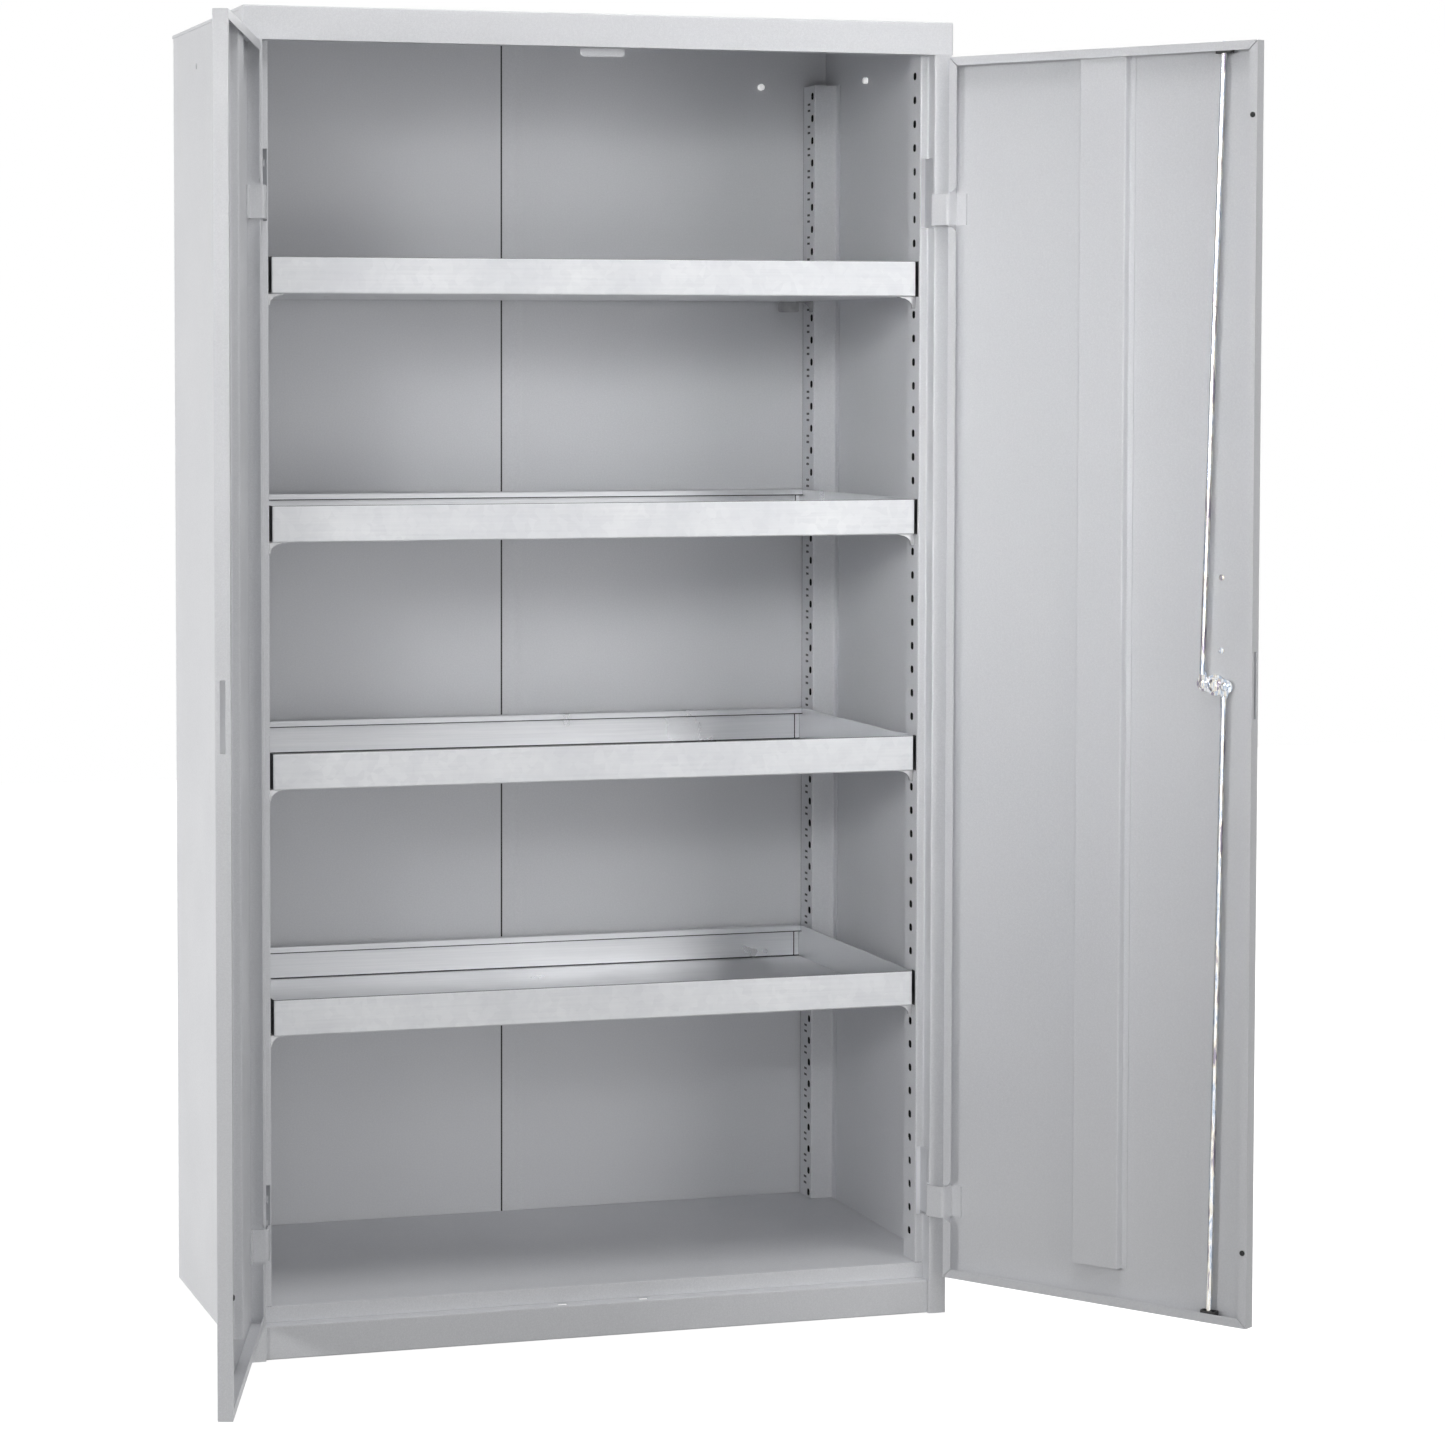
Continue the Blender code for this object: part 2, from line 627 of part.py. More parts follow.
# Trays and clips

def tray(number):
    top = TRAY_TOP_Z - (number - 1) * TRAY_STEP
    low = top - TRAY_HEIGHT
    pan = box("tray_%d" % number, (-TRAY_HALF_WIDTH, TRAY_FRONT_Y, low), (TRAY_HALF_WIDTH, TRAY_REAR_Y, top))
    soften(pan, BEND_RADIUS, lambda ends: max(p.z for p in ends) < low + TRAY_SHEET
           or abs(ends[0].z - ends[1].z) > TRAY_SHEET)
    cut(pan, box("cutter", (TRAY_SHEET - TRAY_HALF_WIDTH, TRAY_FRONT_Y + TRAY_SHEET, low + TRAY_SHEET),
                 (TRAY_HALF_WIDTH - TRAY_SHEET, TRAY_REAR_Y - TRAY_SHEET, top + OVERRUN)))
    rim = [(TRAY_REAR_Y - TRAY_SHEET / 2, top), (TRAY_REAR_Y - TRAY_RIM, top),
           (TRAY_REAR_Y - TRAY_RIM, top - TRAY_RIM_DROP)]
    reach = TRAY_HALF_WIDTH - TRAY_SHEET - SEAT_GAP
    return join(pan, prism("cutter", folded_outline(rim, TRAY_SHEET), -reach, reach, "yz"))


def clip(name, side, slot_y, tray_low, has_plate):
    """Clip hooked in one slot: ledge and back leaf, curved cheek, and a tongue behind the slot."""
    leaf_out = STRIP_X - SEAT_GAP
    leaf_in = leaf_out - CLIP_SHEET
    leaf_middle = leaf_out - CLIP_SHEET / 2
    ledge_top = tray_low - SEAT_GAP
    ledge_low = ledge_top - CLIP_SHEET
    tip_x = leaf_out - CLIP_REACH
    foot_z = ledge_top - CLIP_DROP
    near = slot_y - CLIP_WIDTH / 2
    far = slot_y + CLIP_WIDTH / 2
    slot_z = tray_slot_z(tray_low)
    tongue_top = slot_z + CLIP_TONGUE_HEIGHT / 2
    tongue_low = slot_z - CLIP_TONGUE_HEIGHT / 2
    leaf_top = tongue_top + CLIP_NECK
    angle = [(tip_x, ledge_low), (leaf_in, ledge_low), (leaf_in, foot_z), (leaf_out, foot_z),
             (leaf_out, leaf_top), (leaf_in, leaf_top), (leaf_in, ledge_top), (tip_x, ledge_top)]
    body = prism(name, mirrored(angle, side), near, far, "xz")
    hook_in = STRIP_X + SHEET + SEAT_GAP
    hook_out = hook_in + CLIP_HOOK_THICKNESS
    tongue = [(leaf_middle, tongue_low), (hook_in, tongue_low), (hook_in, tongue_low - CLIP_HOOK_DROP),
              (hook_out, tongue_low - CLIP_HOOK_DROP), (hook_out, tongue_top), (leaf_middle, tongue_top)]
    join(body, prism("cutter", mirrored(tongue, side), slot_y - CLIP_TONGUE_WIDTH / 2,
                     slot_y + CLIP_TONGUE_WIDTH / 2, "xz"))
    ledge_middle = ledge_low + CLIP_SHEET / 2
    start_x = tip_x + CLIP_SHEET
    base_z = foot_z + CLIP_SHEET
    run = leaf_in - CLIP_NECK - start_x
    cheek = []
    for k in range(CLIP_CURVE_STEPS + 1):
        turn = math.pi / 2 * k / CLIP_CURVE_STEPS
        cheek.append((start_x + run * math.sin(turn), base_z + (ledge_low - base_z) * math.cos(turn)))
    cheek += [(leaf_middle, base_z), (leaf_middle, ledge_middle), (start_x, ledge_middle)]
    join(body, prism("cutter", mirrored(cheek, side), near + CLIP_SHEET / 2, near + CLIP_SHEET * 3 / 2, "xz"))
    if has_plate:
        end_x = leaf_out - REAR_PLATE_REACH
        shelf_low = ledge_low - SEAT_GAP
        shelf = box("cutter", (side * (end_x + REAR_PLATE_CORNER), far - CLIP_NECK, shelf_low),
                    (side * (tip_x + CLIP_NECK), far - SEAT_GAP, shelf_low + CLIP_SHEET))
        view = rounded_rectangle((end_x, foot_z), (end_x + REAR_PLATE_WIDTH, ledge_top - SEAT_GAP * 2),
                                 REAR_PLATE_CORNER)
        plate = prism("cutter", mirrored(view, side), far - CLIP_SHEET, far, "xz")
        join(body, shelf, plate)
    return body


def tray_slot_z(tray_low):
    """Height of the lowest slot that lies wholly above a tray's underside."""
    rise = SLOT_TOP_Z - tray_low - SLOT_HEIGHT / 2
    return SLOT_TOP_Z - math.floor(rise / SLOT_PITCH) * SLOT_PITCH


# Doors

def door_pan(word, side):
    """Folded pan: panel, four flanges and four mitred lips, open at the back."""
    hinge = side * DOOR_HINGE_X
    free = side * DOOR_HALF_GAP
    pan = box("door_" + word, (free, DOOR_FACE_Y, DOOR_BOTTOM_Z), (hinge, DOOR_BACK_Y, DOOR_TOP_Z))
    soften(pan, BEND_RADIUS / 2, lambda ends: max(p.y for p in ends) < DOOR_FACE_Y + DOOR_SHEET)
    inner_free = free + side * DOOR_SHEET
    inner_hinge = hinge - side * DOOR_SHEET
    inside = box("cutter", (inner_free, PANEL_INNER_Y, DOOR_BOTTOM_Z + DOOR_SHEET),
                 (inner_hinge, DOOR_BACK_Y - DOOR_SHEET, DOOR_TOP_Z - DOOR_SHEET))
    lip_free = free + side * DOOR_LIP
    lip_hinge = hinge - side * DOOR_LIP
    opening = box("cutter", (lip_free, PANEL_INNER_Y + DOOR_SHEET, DOOR_BOTTOM_Z + DOOR_LIP),
                  (lip_hinge, DOOR_BACK_Y + OVERRUN, DOOR_TOP_Z - DOOR_LIP))
    cut(pan, join(inside, join(opening, mitre_cutter(side))))
    for low in hinge_levels().values():
        cut(pan, hinge_notch(side, low))
    slot = box("cutter", (free - side * OVERRUN, DOOR_FACE_Y + (DOOR_DEPTH - EDGE_SLOT_WIDTH) / 2,
                          EDGE_SLOT_Z - EDGE_SLOT_LENGTH / 2),
               (free + side * OVERRUN, DOOR_FACE_Y + (DOOR_DEPTH + EDGE_SLOT_WIDTH) / 2,
                EDGE_SLOT_Z + EDGE_SLOT_LENGTH / 2))
    return cut(pan, slot)


def mitre_cutter(side):
    """Slits along the diagonals where neighbouring lips meet."""
    shape = bmesh.new()
    start = DOOR_SHEET + SEAT_GAP
    end = DOOR_LIP + SEAT_GAP
    half = DOOR_MITRE_SLIT / 2
    for corner_x, inward_x in ((DOOR_HALF_GAP, 1), (DOOR_HINGE_X, -1)):
        for corner_z, inward_z in ((DOOR_BOTTOM_Z, 1), (DOOR_TOP_Z, -1)):
            ring = []
            for run, shift in ((start, half), (end, half), (end, -half), (start, -half)):
                ring.append((side * (corner_x + inward_x * (run + shift)), corner_z + inward_z * (run - shift)))
            add_prism(shape, ring, DOOR_BACK_Y - DOOR_SHEET - SEAT_GAP, DOOR_BACK_Y + OVERRUN, "xz")
    return object_from("mitre_cutter", shape)


def hinge_notch(side, low):
    """Gap in the hinge-side lip with sloping ends, where the arm comes through."""
    start = low - NOTCH_MARGIN
    end = low + ARM_HEIGHT + NOTCH_MARGIN
    inner = DOOR_HINGE_X - DOOR_LIP - SEAT_GAP
    outer = DOOR_HINGE_X - DOOR_SHEET
    ring = [(inner, start - DOOR_LIP / 2), (inner, end + DOOR_LIP / 2), (inner + DOOR_LIP / 2, end),
            (outer, end), (outer, start), (inner + DOOR_LIP / 2, start)]
    return prism("cutter", mirrored(ring, side), DOOR_BACK_Y - DOOR_SHEET - SEAT_GAP,
                 DOOR_BACK_Y + OVERRUN, "xz")


def stiffener(word, side):
    """Hat section down the inside of the panel."""
    low = PANEL_INNER_Y + SEAT_GAP + STIFFENER_SHEET
    crown = low + STIFFENER_HEIGHT - STIFFENER_SHEET
    near = STIFFENER_X - STIFFENER_WIDTH / 2
    far = STIFFENER_X + STIFFENER_WIDTH / 2
    face = [(far + STIFFENER_FOOT, low), (far, low), (far, crown), (near, crown), (near, low),
            (near - STIFFENER_FOOT, low)]
    outline = mirrored(folded_outline(face, STIFFENER_SHEET), side)
    return prism("door_stiffener_" + word, outline, STIFFENER_BOTTOM_Z, DOOR_TOP_Z - DOOR_SHEET - SEAT_GAP)


def buffer_plug(name, side, z):
    """Rubber button on the free-side lip."""
    profile = [(BUFFER_RADIUS, 0), (BUFFER_RADIUS, BUFFER_HEIGHT / 2), (BUFFER_RADIUS / 2, BUFFER_HEIGHT)]
    centre = (side * (DOOR_HALF_GAP + DOOR_LIP / 2), DOOR_BACK_Y + SEAT_GAP, z)
    return turned(name, profile, centre, "Y", SMALL_SIDES)


# Hinges

def hinge_arm(name, side, low):
    """Cranked arm: barrel on the pin, round the post's edge, through its window to the door."""
    base = math.radians(ARM_BASE_ANGLE_DEG)
    inward = Vector((-math.sin(base), math.cos(base)))
    root = Vector((PIN_X, PIN_Y)) + inward * (BARREL_RADIUS - ARM_THICKNESS)
    wall_x = SKIN_INNER_X - ARM_SKIN_CLEARANCE
    knee = root + Vector((math.cos(base), math.sin(base))) * ((wall_x - root.x) / math.cos(base))
    back_y = POST_RECESS + SHEET + ARM_POST_GAP + ARM_THICKNESS
    elbow_x = DOOR_HINGE_X - DOOR_SHEET - SEAT_GAP - ARM_THICKNESS
    leaf_y = PANEL_INNER_Y + SEAT_GAP + ARM_THICKNESS
    face = [tuple(root), tuple(knee), (wall_x, back_y), (elbow_x, back_y), (elbow_x, leaf_y),
            (elbow_x - ARM_LEAF, leaf_y)]
    tight = ARM_ELBOW_RADIUS - ARM_THICKNESS
    radii = [ARM_THICKNESS, ARM_ELBOW_RADIUS, ARM_ELBOW_RADIUS, tight]
    outline = mirrored(folded_outline(face, ARM_THICKNESS, radii), side)
    arm = prism(name, outline, low, low + ARM_HEIGHT)
    centre = (side * PIN_X, PIN_Y, low)
    barrel = turned("cutter", [(BARREL_RADIUS, 0), (BARREL_RADIUS, ARM_HEIGHT)], centre)
    bore_radius = PIN_RADIUS + PIN_CLEARANCE
    bore = turned("cutter", [(bore_radius, -OVERRUN), (bore_radius, ARM_HEIGHT + OVERRUN)], centre)
    join(arm, barrel)
    cut(arm, bore)
    smooth_round(arm)
    return arm


def hinge_pin(name, side, low):
    """Pin with the two plates that hold it inside the post."""
    top = low + ARM_HEIGHT
    tail = PIN_PLATE_THICKNESS + PIN_TAIL
    pin = turned(name, [(PIN_RADIUS, -tail), (PIN_RADIUS, ARM_HEIGHT + tail)], (side * PIN_X, PIN_Y, low),
                 sides=SMALL_SIDES)
    near_y = SHEET + SEAT_GAP
    far_y = PIN_Y + PIN_PLATE_REACH
    inner_x = side * (PIN_X - PIN_PLATE_REACH)
    outer_x = side * (SKIN_INNER_X - BEND_RADIUS / 2)
    for start in (low - SEAT_GAP - PIN_PLATE_THICKNESS, top + SEAT_GAP):
        plate = box("cutter", (inner_x, near_y, start), (outer_x, far_y, start + PIN_PLATE_THICKNESS))
        join(pin, plate)
    smooth_round(pin)
    return pin


# Lock

def rod_lean(guide_x, pivot_x, rise):
    """Angle of a rod from upright at rest, seen from the front."""
    return math.atan2(guide_x - pivot_x, rise)


def crank_points():
    """Pivot centres of the upper and lower rods on the cam at rest."""
    angle = math.radians(CRANK_REST_DEG)
    reach = CRANK_RADIUS * math.cos(angle)
    lift = CRANK_RADIUS * math.sin(angle)
    return {"upper": (LOCK_X + reach, LOCK_Z + lift), "lower": (LOCK_X - reach, LOCK_Z - lift)}


def lock_cam():
    """Plate with a rivet at each end for the rods and a boss over the spindle."""
    ends = crank_points()
    top = CAM_Y + CAM_THICKNESS
    angle = CRANK_REST_DEG
    outline = arc(ends["upper"], CAM_END_RADIUS, angle - 90, angle + 90, 8)
    outline += arc(ends["lower"], CAM_END_RADIUS, angle + 90, angle + 270, 8)
    cam = prism("lock_cam", outline, CAM_Y, top, "xz")
    boss = turned("cutter", [(CAM_BOSS_RADIUS, -CAM_THICKNESS / 2), (CAM_BOSS_RADIUS, CAM_BOSS_HEIGHT / 2),
                             (CAM_BOSS_RADIUS / 2, CAM_BOSS_HEIGHT)], (LOCK_X, top, LOCK_Z), "Y")
    join(cam, boss)
    head = EYE_THICKNESS + 2 * EYE_CLEARANCE
    for x, z in ends.values():
        profile = [(RIVET_RADIUS, -CAM_THICKNESS / 2), (RIVET_RADIUS, head), (RIVET_HEAD_RADIUS, head),
                   (RIVET_HEAD_RADIUS, head + RIVET_HEAD_HEIGHT / 3),
                   (RIVET_HEAD_RADIUS / 2, head + RIVET_HEAD_HEIGHT)]
        join(cam, turned("cutter", profile, (x, top, z), "Y", SMALL_SIDES))
    socket = SPINDLE_SIZE / 2 + SEAT_GAP
    cut(cam, box("cutter", (LOCK_X - socket, CAM_Y - OVERRUN, LOCK_Z - socket),
                 (LOCK_X + socket, top + SEAT_GAP, LOCK_Z + socket)))
    smooth_round(cam)
    return cam


def lock_rod(word, direction, guide_x, end_z):
    """Round rod with a flattened eye, drawn upright at its pivot and then leaned to its guide."""
    pivot_x, pivot_z = crank_points()[word]
    length = abs(end_z - pivot_z)
    eye_y = CAM_Y + CAM_THICKNESS + EYE_CLEARANCE
    reach = ROD_START + ROD_RADIUS
    outline = arc((0, 0), EYE_RADIUS, 180, 360, 8) + [(EYE_RADIUS, EYE_RADIUS), (ROD_RADIUS, reach),
                                                      (-ROD_RADIUS, reach), (-EYE_RADIUS, EYE_RADIUS)]
    rod = prism("lock_rod_" + word, outline, eye_y, eye_y + EYE_THICKNESS, "xz")
    hole_radius = RIVET_RADIUS + EYE_CLEARANCE
    cut(rod, turned("cutter", [(hole_radius, -OVERRUN), (hole_radius, OVERRUN)], (0, eye_y, 0), "Y", SMALL_SIDES))
    bar = turned("cutter", [(ROD_RADIUS - ROD_CHAMFER, ROD_START), (ROD_RADIUS, ROD_START + ROD_CHAMFER),
                            (ROD_RADIUS, length - ROD_CHAMFER), (ROD_RADIUS - ROD_CHAMFER, length)],
                 (0, ROD_Y, 0), sides=SMALL_SIDES)
    join(rod, bar)
    if direction < 0:
        rod.data.transform(Matrix.Rotation(math.pi, 4, "Y"))
    lean = rod_lean(guide_x, pivot_x, direction * length) if direction > 0 else \
        math.atan2(pivot_x - guide_x, length)
    rod.data.transform(Matrix.Rotation(lean, 4, "Y"))
    rod.data.transform(Matrix.Translation((pivot_x, 0, pivot_z)))
    smooth_round(rod)
    return rod


def rod_guide(word, guide_x, flange_z, direction):
    """Black guide block inside the door's end flange, with a tail towards the free edge."""
    near_z = flange_z - direction * SEAT_GAP
    far_z = near_z - direction * GUIDE_HEIGHT
    rear = DOOR_BACK_Y - DOOR_SHEET - SEAT_GAP
    corner = (rear - GUIDE_FRONT_Y) / 3
    outline = rounded_rectangle((guide_x - GUIDE_WIDTH / 2, GUIDE_FRONT_Y), (guide_x + GUIDE_WIDTH / 2, rear), corner)
    guide = prism("rod_guide_" + word, outline, *sorted((near_z, far_z)))
    middle = (GUIDE_FRONT_Y + rear) / 2
    tail = box("cutter", (guide_x - GUIDE_TAIL, middle - GUIDE_TAIL_WIDTH / 2, near_z),
               (guide_x, middle + GUIDE_TAIL_WIDTH / 2, near_z - direction * GUIDE_TAIL_HEIGHT))
    join(guide, tail)
    gap = ROD_RADIUS + SEAT_GAP
    hole = box("cutter", (guide_x - GUIDE_HOLE_LENGTH / 2, ROD_Y - gap, near_z + direction * OVERRUN),
               (guide_x + GUIDE_HOLE_LENGTH / 2, ROD_Y + gap, far_z - direction * OVERRUN))
    return cut(guide, hole)


def flange_hole(guide_x, z):
    """Cutter for the opening in the door's end flange that a rod slides through."""
    gap = ROD_RADIUS + SEAT_GAP
    return box("cutter", (guide_x - GUIDE_HOLE_LENGTH / 2, ROD_Y - gap, z - OVERRUN),
               (guide_x + GUIDE_HOLE_LENGTH / 2, ROD_Y + gap, z + OVERRUN))


def through_hole(radius, x, z):
    return turned("cutter", [(radius, -DOOR_DEPTH), (radius, DOOR_DEPTH)], (x, DOOR_FACE_Y, z), "Y", SMALL_SIDES)


def lock_nut():
    """Ring that clamps the lock to the panel."""
    low = PANEL_INNER_Y + SEAT_GAP
    nut = turned("lock_nut", [(NUT_RADIUS, low), (NUT_RADIUS, CAM_Y - SEAT_GAP)], (LOCK_X, 0, LOCK_Z), "Y")
    return cut(nut, through_hole(SPINDLE_HOLE_RADIUS, LOCK_X, LOCK_Z))


def handle_base():
    low = (HANDLE_BASE_X - HANDLE_BASE_WIDTH / 2, HANDLE_BASE_LOW_Z)
    high = (HANDLE_BASE_X + HANDLE_BASE_WIDTH / 2, HANDLE_BASE_HIGH_Z)
    rear = DOOR_FACE_Y - SEAT_GAP
    outline = rounded_rectangle(low, high, HANDLE_BASE_CORNER)
    base = prism("handle_base", outline, rear - HANDLE_BASE_THICKNESS, rear, "xz")
    soften(base, BEND_RADIUS, lambda ends: max(p.y for p in ends) < rear - HANDLE_BASE_THICKNESS / 2)
    return cut(base, through_hole(SPINDLE_HOLE_RADIUS, LOCK_X, LOCK_Z))


def handle_lever():
    """Hub, tapered lever and square spindle; the lever lies towards the hinges when unlocked."""
    hub_rear = DOOR_FACE_Y - 2 * SEAT_GAP - HANDLE_BASE_THICKNESS
    hub_front = hub_rear - HUB_HEIGHT
    lever_rear = hub_front + LEVER_THICKNESS
    tip = LOCK_X + LEVER_LENGTH
    root = LEVER_ROOT_WIDTH / 2
    nose = LEVER_TIP_WIDTH / 2
    outline = [(LOCK_X, LOCK_Z - root), *arc((tip - nose, LOCK_Z), nose, -90, 90, 6), (LOCK_X, LOCK_Z + root)]
    lever = prism("handle_lever", outline, hub_front, lever_rear, "xz")
    soften(lever, BEND_RADIUS / 2, lambda ends: max(p.x for p in ends) > LOCK_X + nose)
    hub = turned("cutter", [(HUB_RADIUS - BEND_RADIUS / 2, 0), (HUB_RADIUS, BEND_RADIUS / 2),
                            (HUB_RADIUS, HUB_HEIGHT)], (LOCK_X, hub_front, LOCK_Z), "Y")
    half = SPINDLE_SIZE / 2
    spindle = box("cutter", (LOCK_X - half, hub_rear - OVERRUN, LOCK_Z - half),
                  (LOCK_X + half, CAM_Y + CAM_THICKNESS, LOCK_Z + half))
    join(lever, hub, spindle)
    seat = KEY_BARREL_RADIUS + SEAT_GAP
    cut(lever, turned("cutter", [(seat, -OVERRUN), (seat, KEY_BARREL_DEPTH + SEAT_GAP)],
                      (LOCK_X, hub_front, LOCK_Z), "Y"))
    smooth_round(lever)
    return lever


def key_barrel():
    """Key cylinder in the hub, with its slot."""
    hub_front = DOOR_FACE_Y - 2 * SEAT_GAP - HANDLE_BASE_THICKNESS - HUB_HEIGHT
    barrel = turned("key_barrel", [(KEY_BARREL_RADIUS, -KEY_BARREL_PROUD), (KEY_BARREL_RADIUS, KEY_BARREL_DEPTH)],
                    (LOCK_X, hub_front, LOCK_Z), "Y")
    face = hub_front - KEY_BARREL_PROUD
    return cut(barrel, box("cutter", (LOCK_X - KEY_SLOT_LENGTH / 2, face - OVERRUN, LOCK_Z - KEY_SLOT_WIDTH / 2),
                           (LOCK_X + KEY_SLOT_LENGTH / 2, face + KEY_SLOT_DEPTH, LOCK_Z + KEY_SLOT_WIDTH / 2)))


def handle_screw(name, z):
    low = PANEL_INNER_Y + SEAT_GAP
    profile = [(SCREW_HEAD_RADIUS, 0), (SCREW_HEAD_RADIUS, SCREW_HEAD_HEIGHT / 2),
               (SCREW_HEAD_RADIUS / 2, SCREW_HEAD_HEIGHT)]
    return turned(name, profile, (SCREW_X, low, z), "Y", SMALL_SIDES)


# Assembly

def build_carcass(origin, coat, zinc):
    place(roof(), coat, origin)
    place(stop_plate(), coat, origin)
    place(plinth(), coat, origin)
    place(base_deck(), coat, origin)
    for word, side in SIDES.items():
        place(side_panel(word, side), coat, origin)
        place(rear_upright(word, side), coat, origin)
        place(back_panel(word, side), coat, origin)
        for level, low in hinge_levels().items():
            place(hinge_pin("hinge_pin_%s_%s" % (level, word), side, low), zinc, origin)


def build_trays(origin, galvanised, zinc):
    rows = {"front": POST_RECESS + FRONT_SLOT_SETBACK, "rear": UPRIGHT_FRONT_Y + REAR_SLOT_SETBACK}
    for number in range(1, TRAY_COUNT + 1):
        place(tray(number), galvanised, origin)
        low = TRAY_TOP_Z - (number - 1) * TRAY_STEP - TRAY_HEIGHT
        for word, side in SIDES.items():
            for row, slot_y in rows.items():
                name = "clip_%d_%s_%s" % (number, row, word)
                place(clip(name, side, slot_y, low, row == "rear"), zinc, origin)


def build_door(word, side, axis, coat, zinc, rubber):
    pan = door_pan(word, side)
    if side > 0:
        cut(pan, flange_hole(UPPER_GUIDE_X, DOOR_TOP_Z), flange_hole(LOWER_GUIDE_X, DOOR_BOTTOM_Z),
            through_hole(SPINDLE_HOLE_RADIUS, LOCK_X, LOCK_Z))
    place(pan, coat, axis)
    place(stiffener(word, side), coat, axis)
    for level, low in hinge_levels().items():
        place(hinge_arm("hinge_arm_%s_%s" % (level, word), side, low), coat, axis)
    buffers = {"upper": BUFFER_UPPER_Z, "lower": BUFFER_LOWER_Z} if side > 0 else {"lower": LEFT_BUFFER_Z}
    for level, z in buffers.items():
        place(buffer_plug("buffer_%s_%s" % (level, word), side, z), rubber, axis)


def build_lock(door_axis, zinc, steel, black):
    place(lock_nut(), zinc, door_axis)
    place(handle_base(), black, door_axis)
    place(handle_screw("handle_screw_upper", SCREW_UPPER_Z), zinc, door_axis)
    place(handle_screw("handle_screw_lower", SCREW_LOWER_Z), zinc, door_axis)
    place(rod_guide("upper", UPPER_GUIDE_X, DOOR_TOP_Z - DOOR_SHEET, 1), black, door_axis)
    place(rod_guide("lower", LOWER_GUIDE_X, DOOR_BOTTOM_Z + DOOR_SHEET, -1), black, door_axis)
    lock_axis = pivot("lock_axis", (LOCK_X, CAM_Y, LOCK_Z), door_axis)
    place(lock_cam(), zinc, lock_axis)
    place(handle_lever(), black, lock_axis)
    place(key_barrel(), steel, lock_axis)
    ends = {"upper": (1, UPPER_GUIDE_X, DOOR_TOP_Z + ROD_TOP_MARGIN),
            "lower": (-1, LOWER_GUIDE_X, DOOR_BOTTOM_Z - ROD_BOTTOM_MARGIN)}
    for word, (direction, guide_x, end_z) in ends.items():
        x, z = crank_points()[word]
        rod_axis = pivot("rod_axis_" + word, (x, CAM_Y, z), lock_axis)
        place(lock_rod(word, direction, guide_x, end_z), zinc, rod_axis)


def build():
    remove_everything()
    coat = finish_material("powder_coat", (0.60, 0.61, 0.63), 0.45, 0.0)
    galvanised = finish_material("galvanised", (0.72, 0.73, 0.75), 0.35, 1.0)
    zinc = finish_material("zinc", (0.75, 0.76, 0.78), 0.28, 1.0)
    steel = finish_material("steel", (0.62, 0.62, 0.63), 0.30, 1.0)
    black = finish_material("black_plastic", (0.02, 0.02, 0.02), 0.45, 0.0)
    rubber = finish_material("rubber", (0.015, 0.015, 0.015), 0.75, 0.0)
    origin = pivot("cupboard_origin", (0, ORIGIN_Y, 0))
    build_carcass(origin, coat, zinc)
    build_trays(origin, galvanised, zinc)
    right = pivot("door_axis_right", (PIN_X, PIN_Y, 0), origin, "Z", RIGHT_DOOR_OPEN_DEG)
    left = pivot("door_axis_left", (-PIN_X, PIN_Y, 0), origin, "Z", -LEFT_DOOR_OPEN_DEG)
    build_door("right", 1, right, coat, zinc, rubber)
    build_door("left", -1, left, coat, zinc, rubber)
    build_lock(right, zinc, steel, black)


build()
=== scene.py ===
"""Photo scene of the sump-tray cupboard: finishes, small details, camera and studio light."""

import json
import math

import bmesh
import bpy
from mathutils import Matrix, Vector


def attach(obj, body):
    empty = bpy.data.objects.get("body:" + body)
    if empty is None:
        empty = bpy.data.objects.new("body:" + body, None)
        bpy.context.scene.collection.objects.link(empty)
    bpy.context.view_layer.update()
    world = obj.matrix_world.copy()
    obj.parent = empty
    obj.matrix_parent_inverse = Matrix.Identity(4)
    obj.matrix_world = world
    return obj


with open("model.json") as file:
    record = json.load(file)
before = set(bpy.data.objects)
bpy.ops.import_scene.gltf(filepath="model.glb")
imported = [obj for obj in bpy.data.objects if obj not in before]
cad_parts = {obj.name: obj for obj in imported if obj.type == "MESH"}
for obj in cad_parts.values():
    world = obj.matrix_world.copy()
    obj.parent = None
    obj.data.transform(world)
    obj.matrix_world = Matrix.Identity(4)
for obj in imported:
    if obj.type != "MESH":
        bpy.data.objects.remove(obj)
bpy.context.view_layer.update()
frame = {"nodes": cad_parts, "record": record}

# Camera, read off the photo
CAMERA_PLACE = (-1.51485, -4.94467, 1.33279)
CAMERA_YAW = 0.27554
CAMERA_PITCH = -0.04919
CAMERA_LENS = 94.928
CAMERA_SENSOR = 36
CAMERA_SHIFT = (0.14, -0.12)
CAMERA_REACH = 60
IMAGE_SIZE = 1445

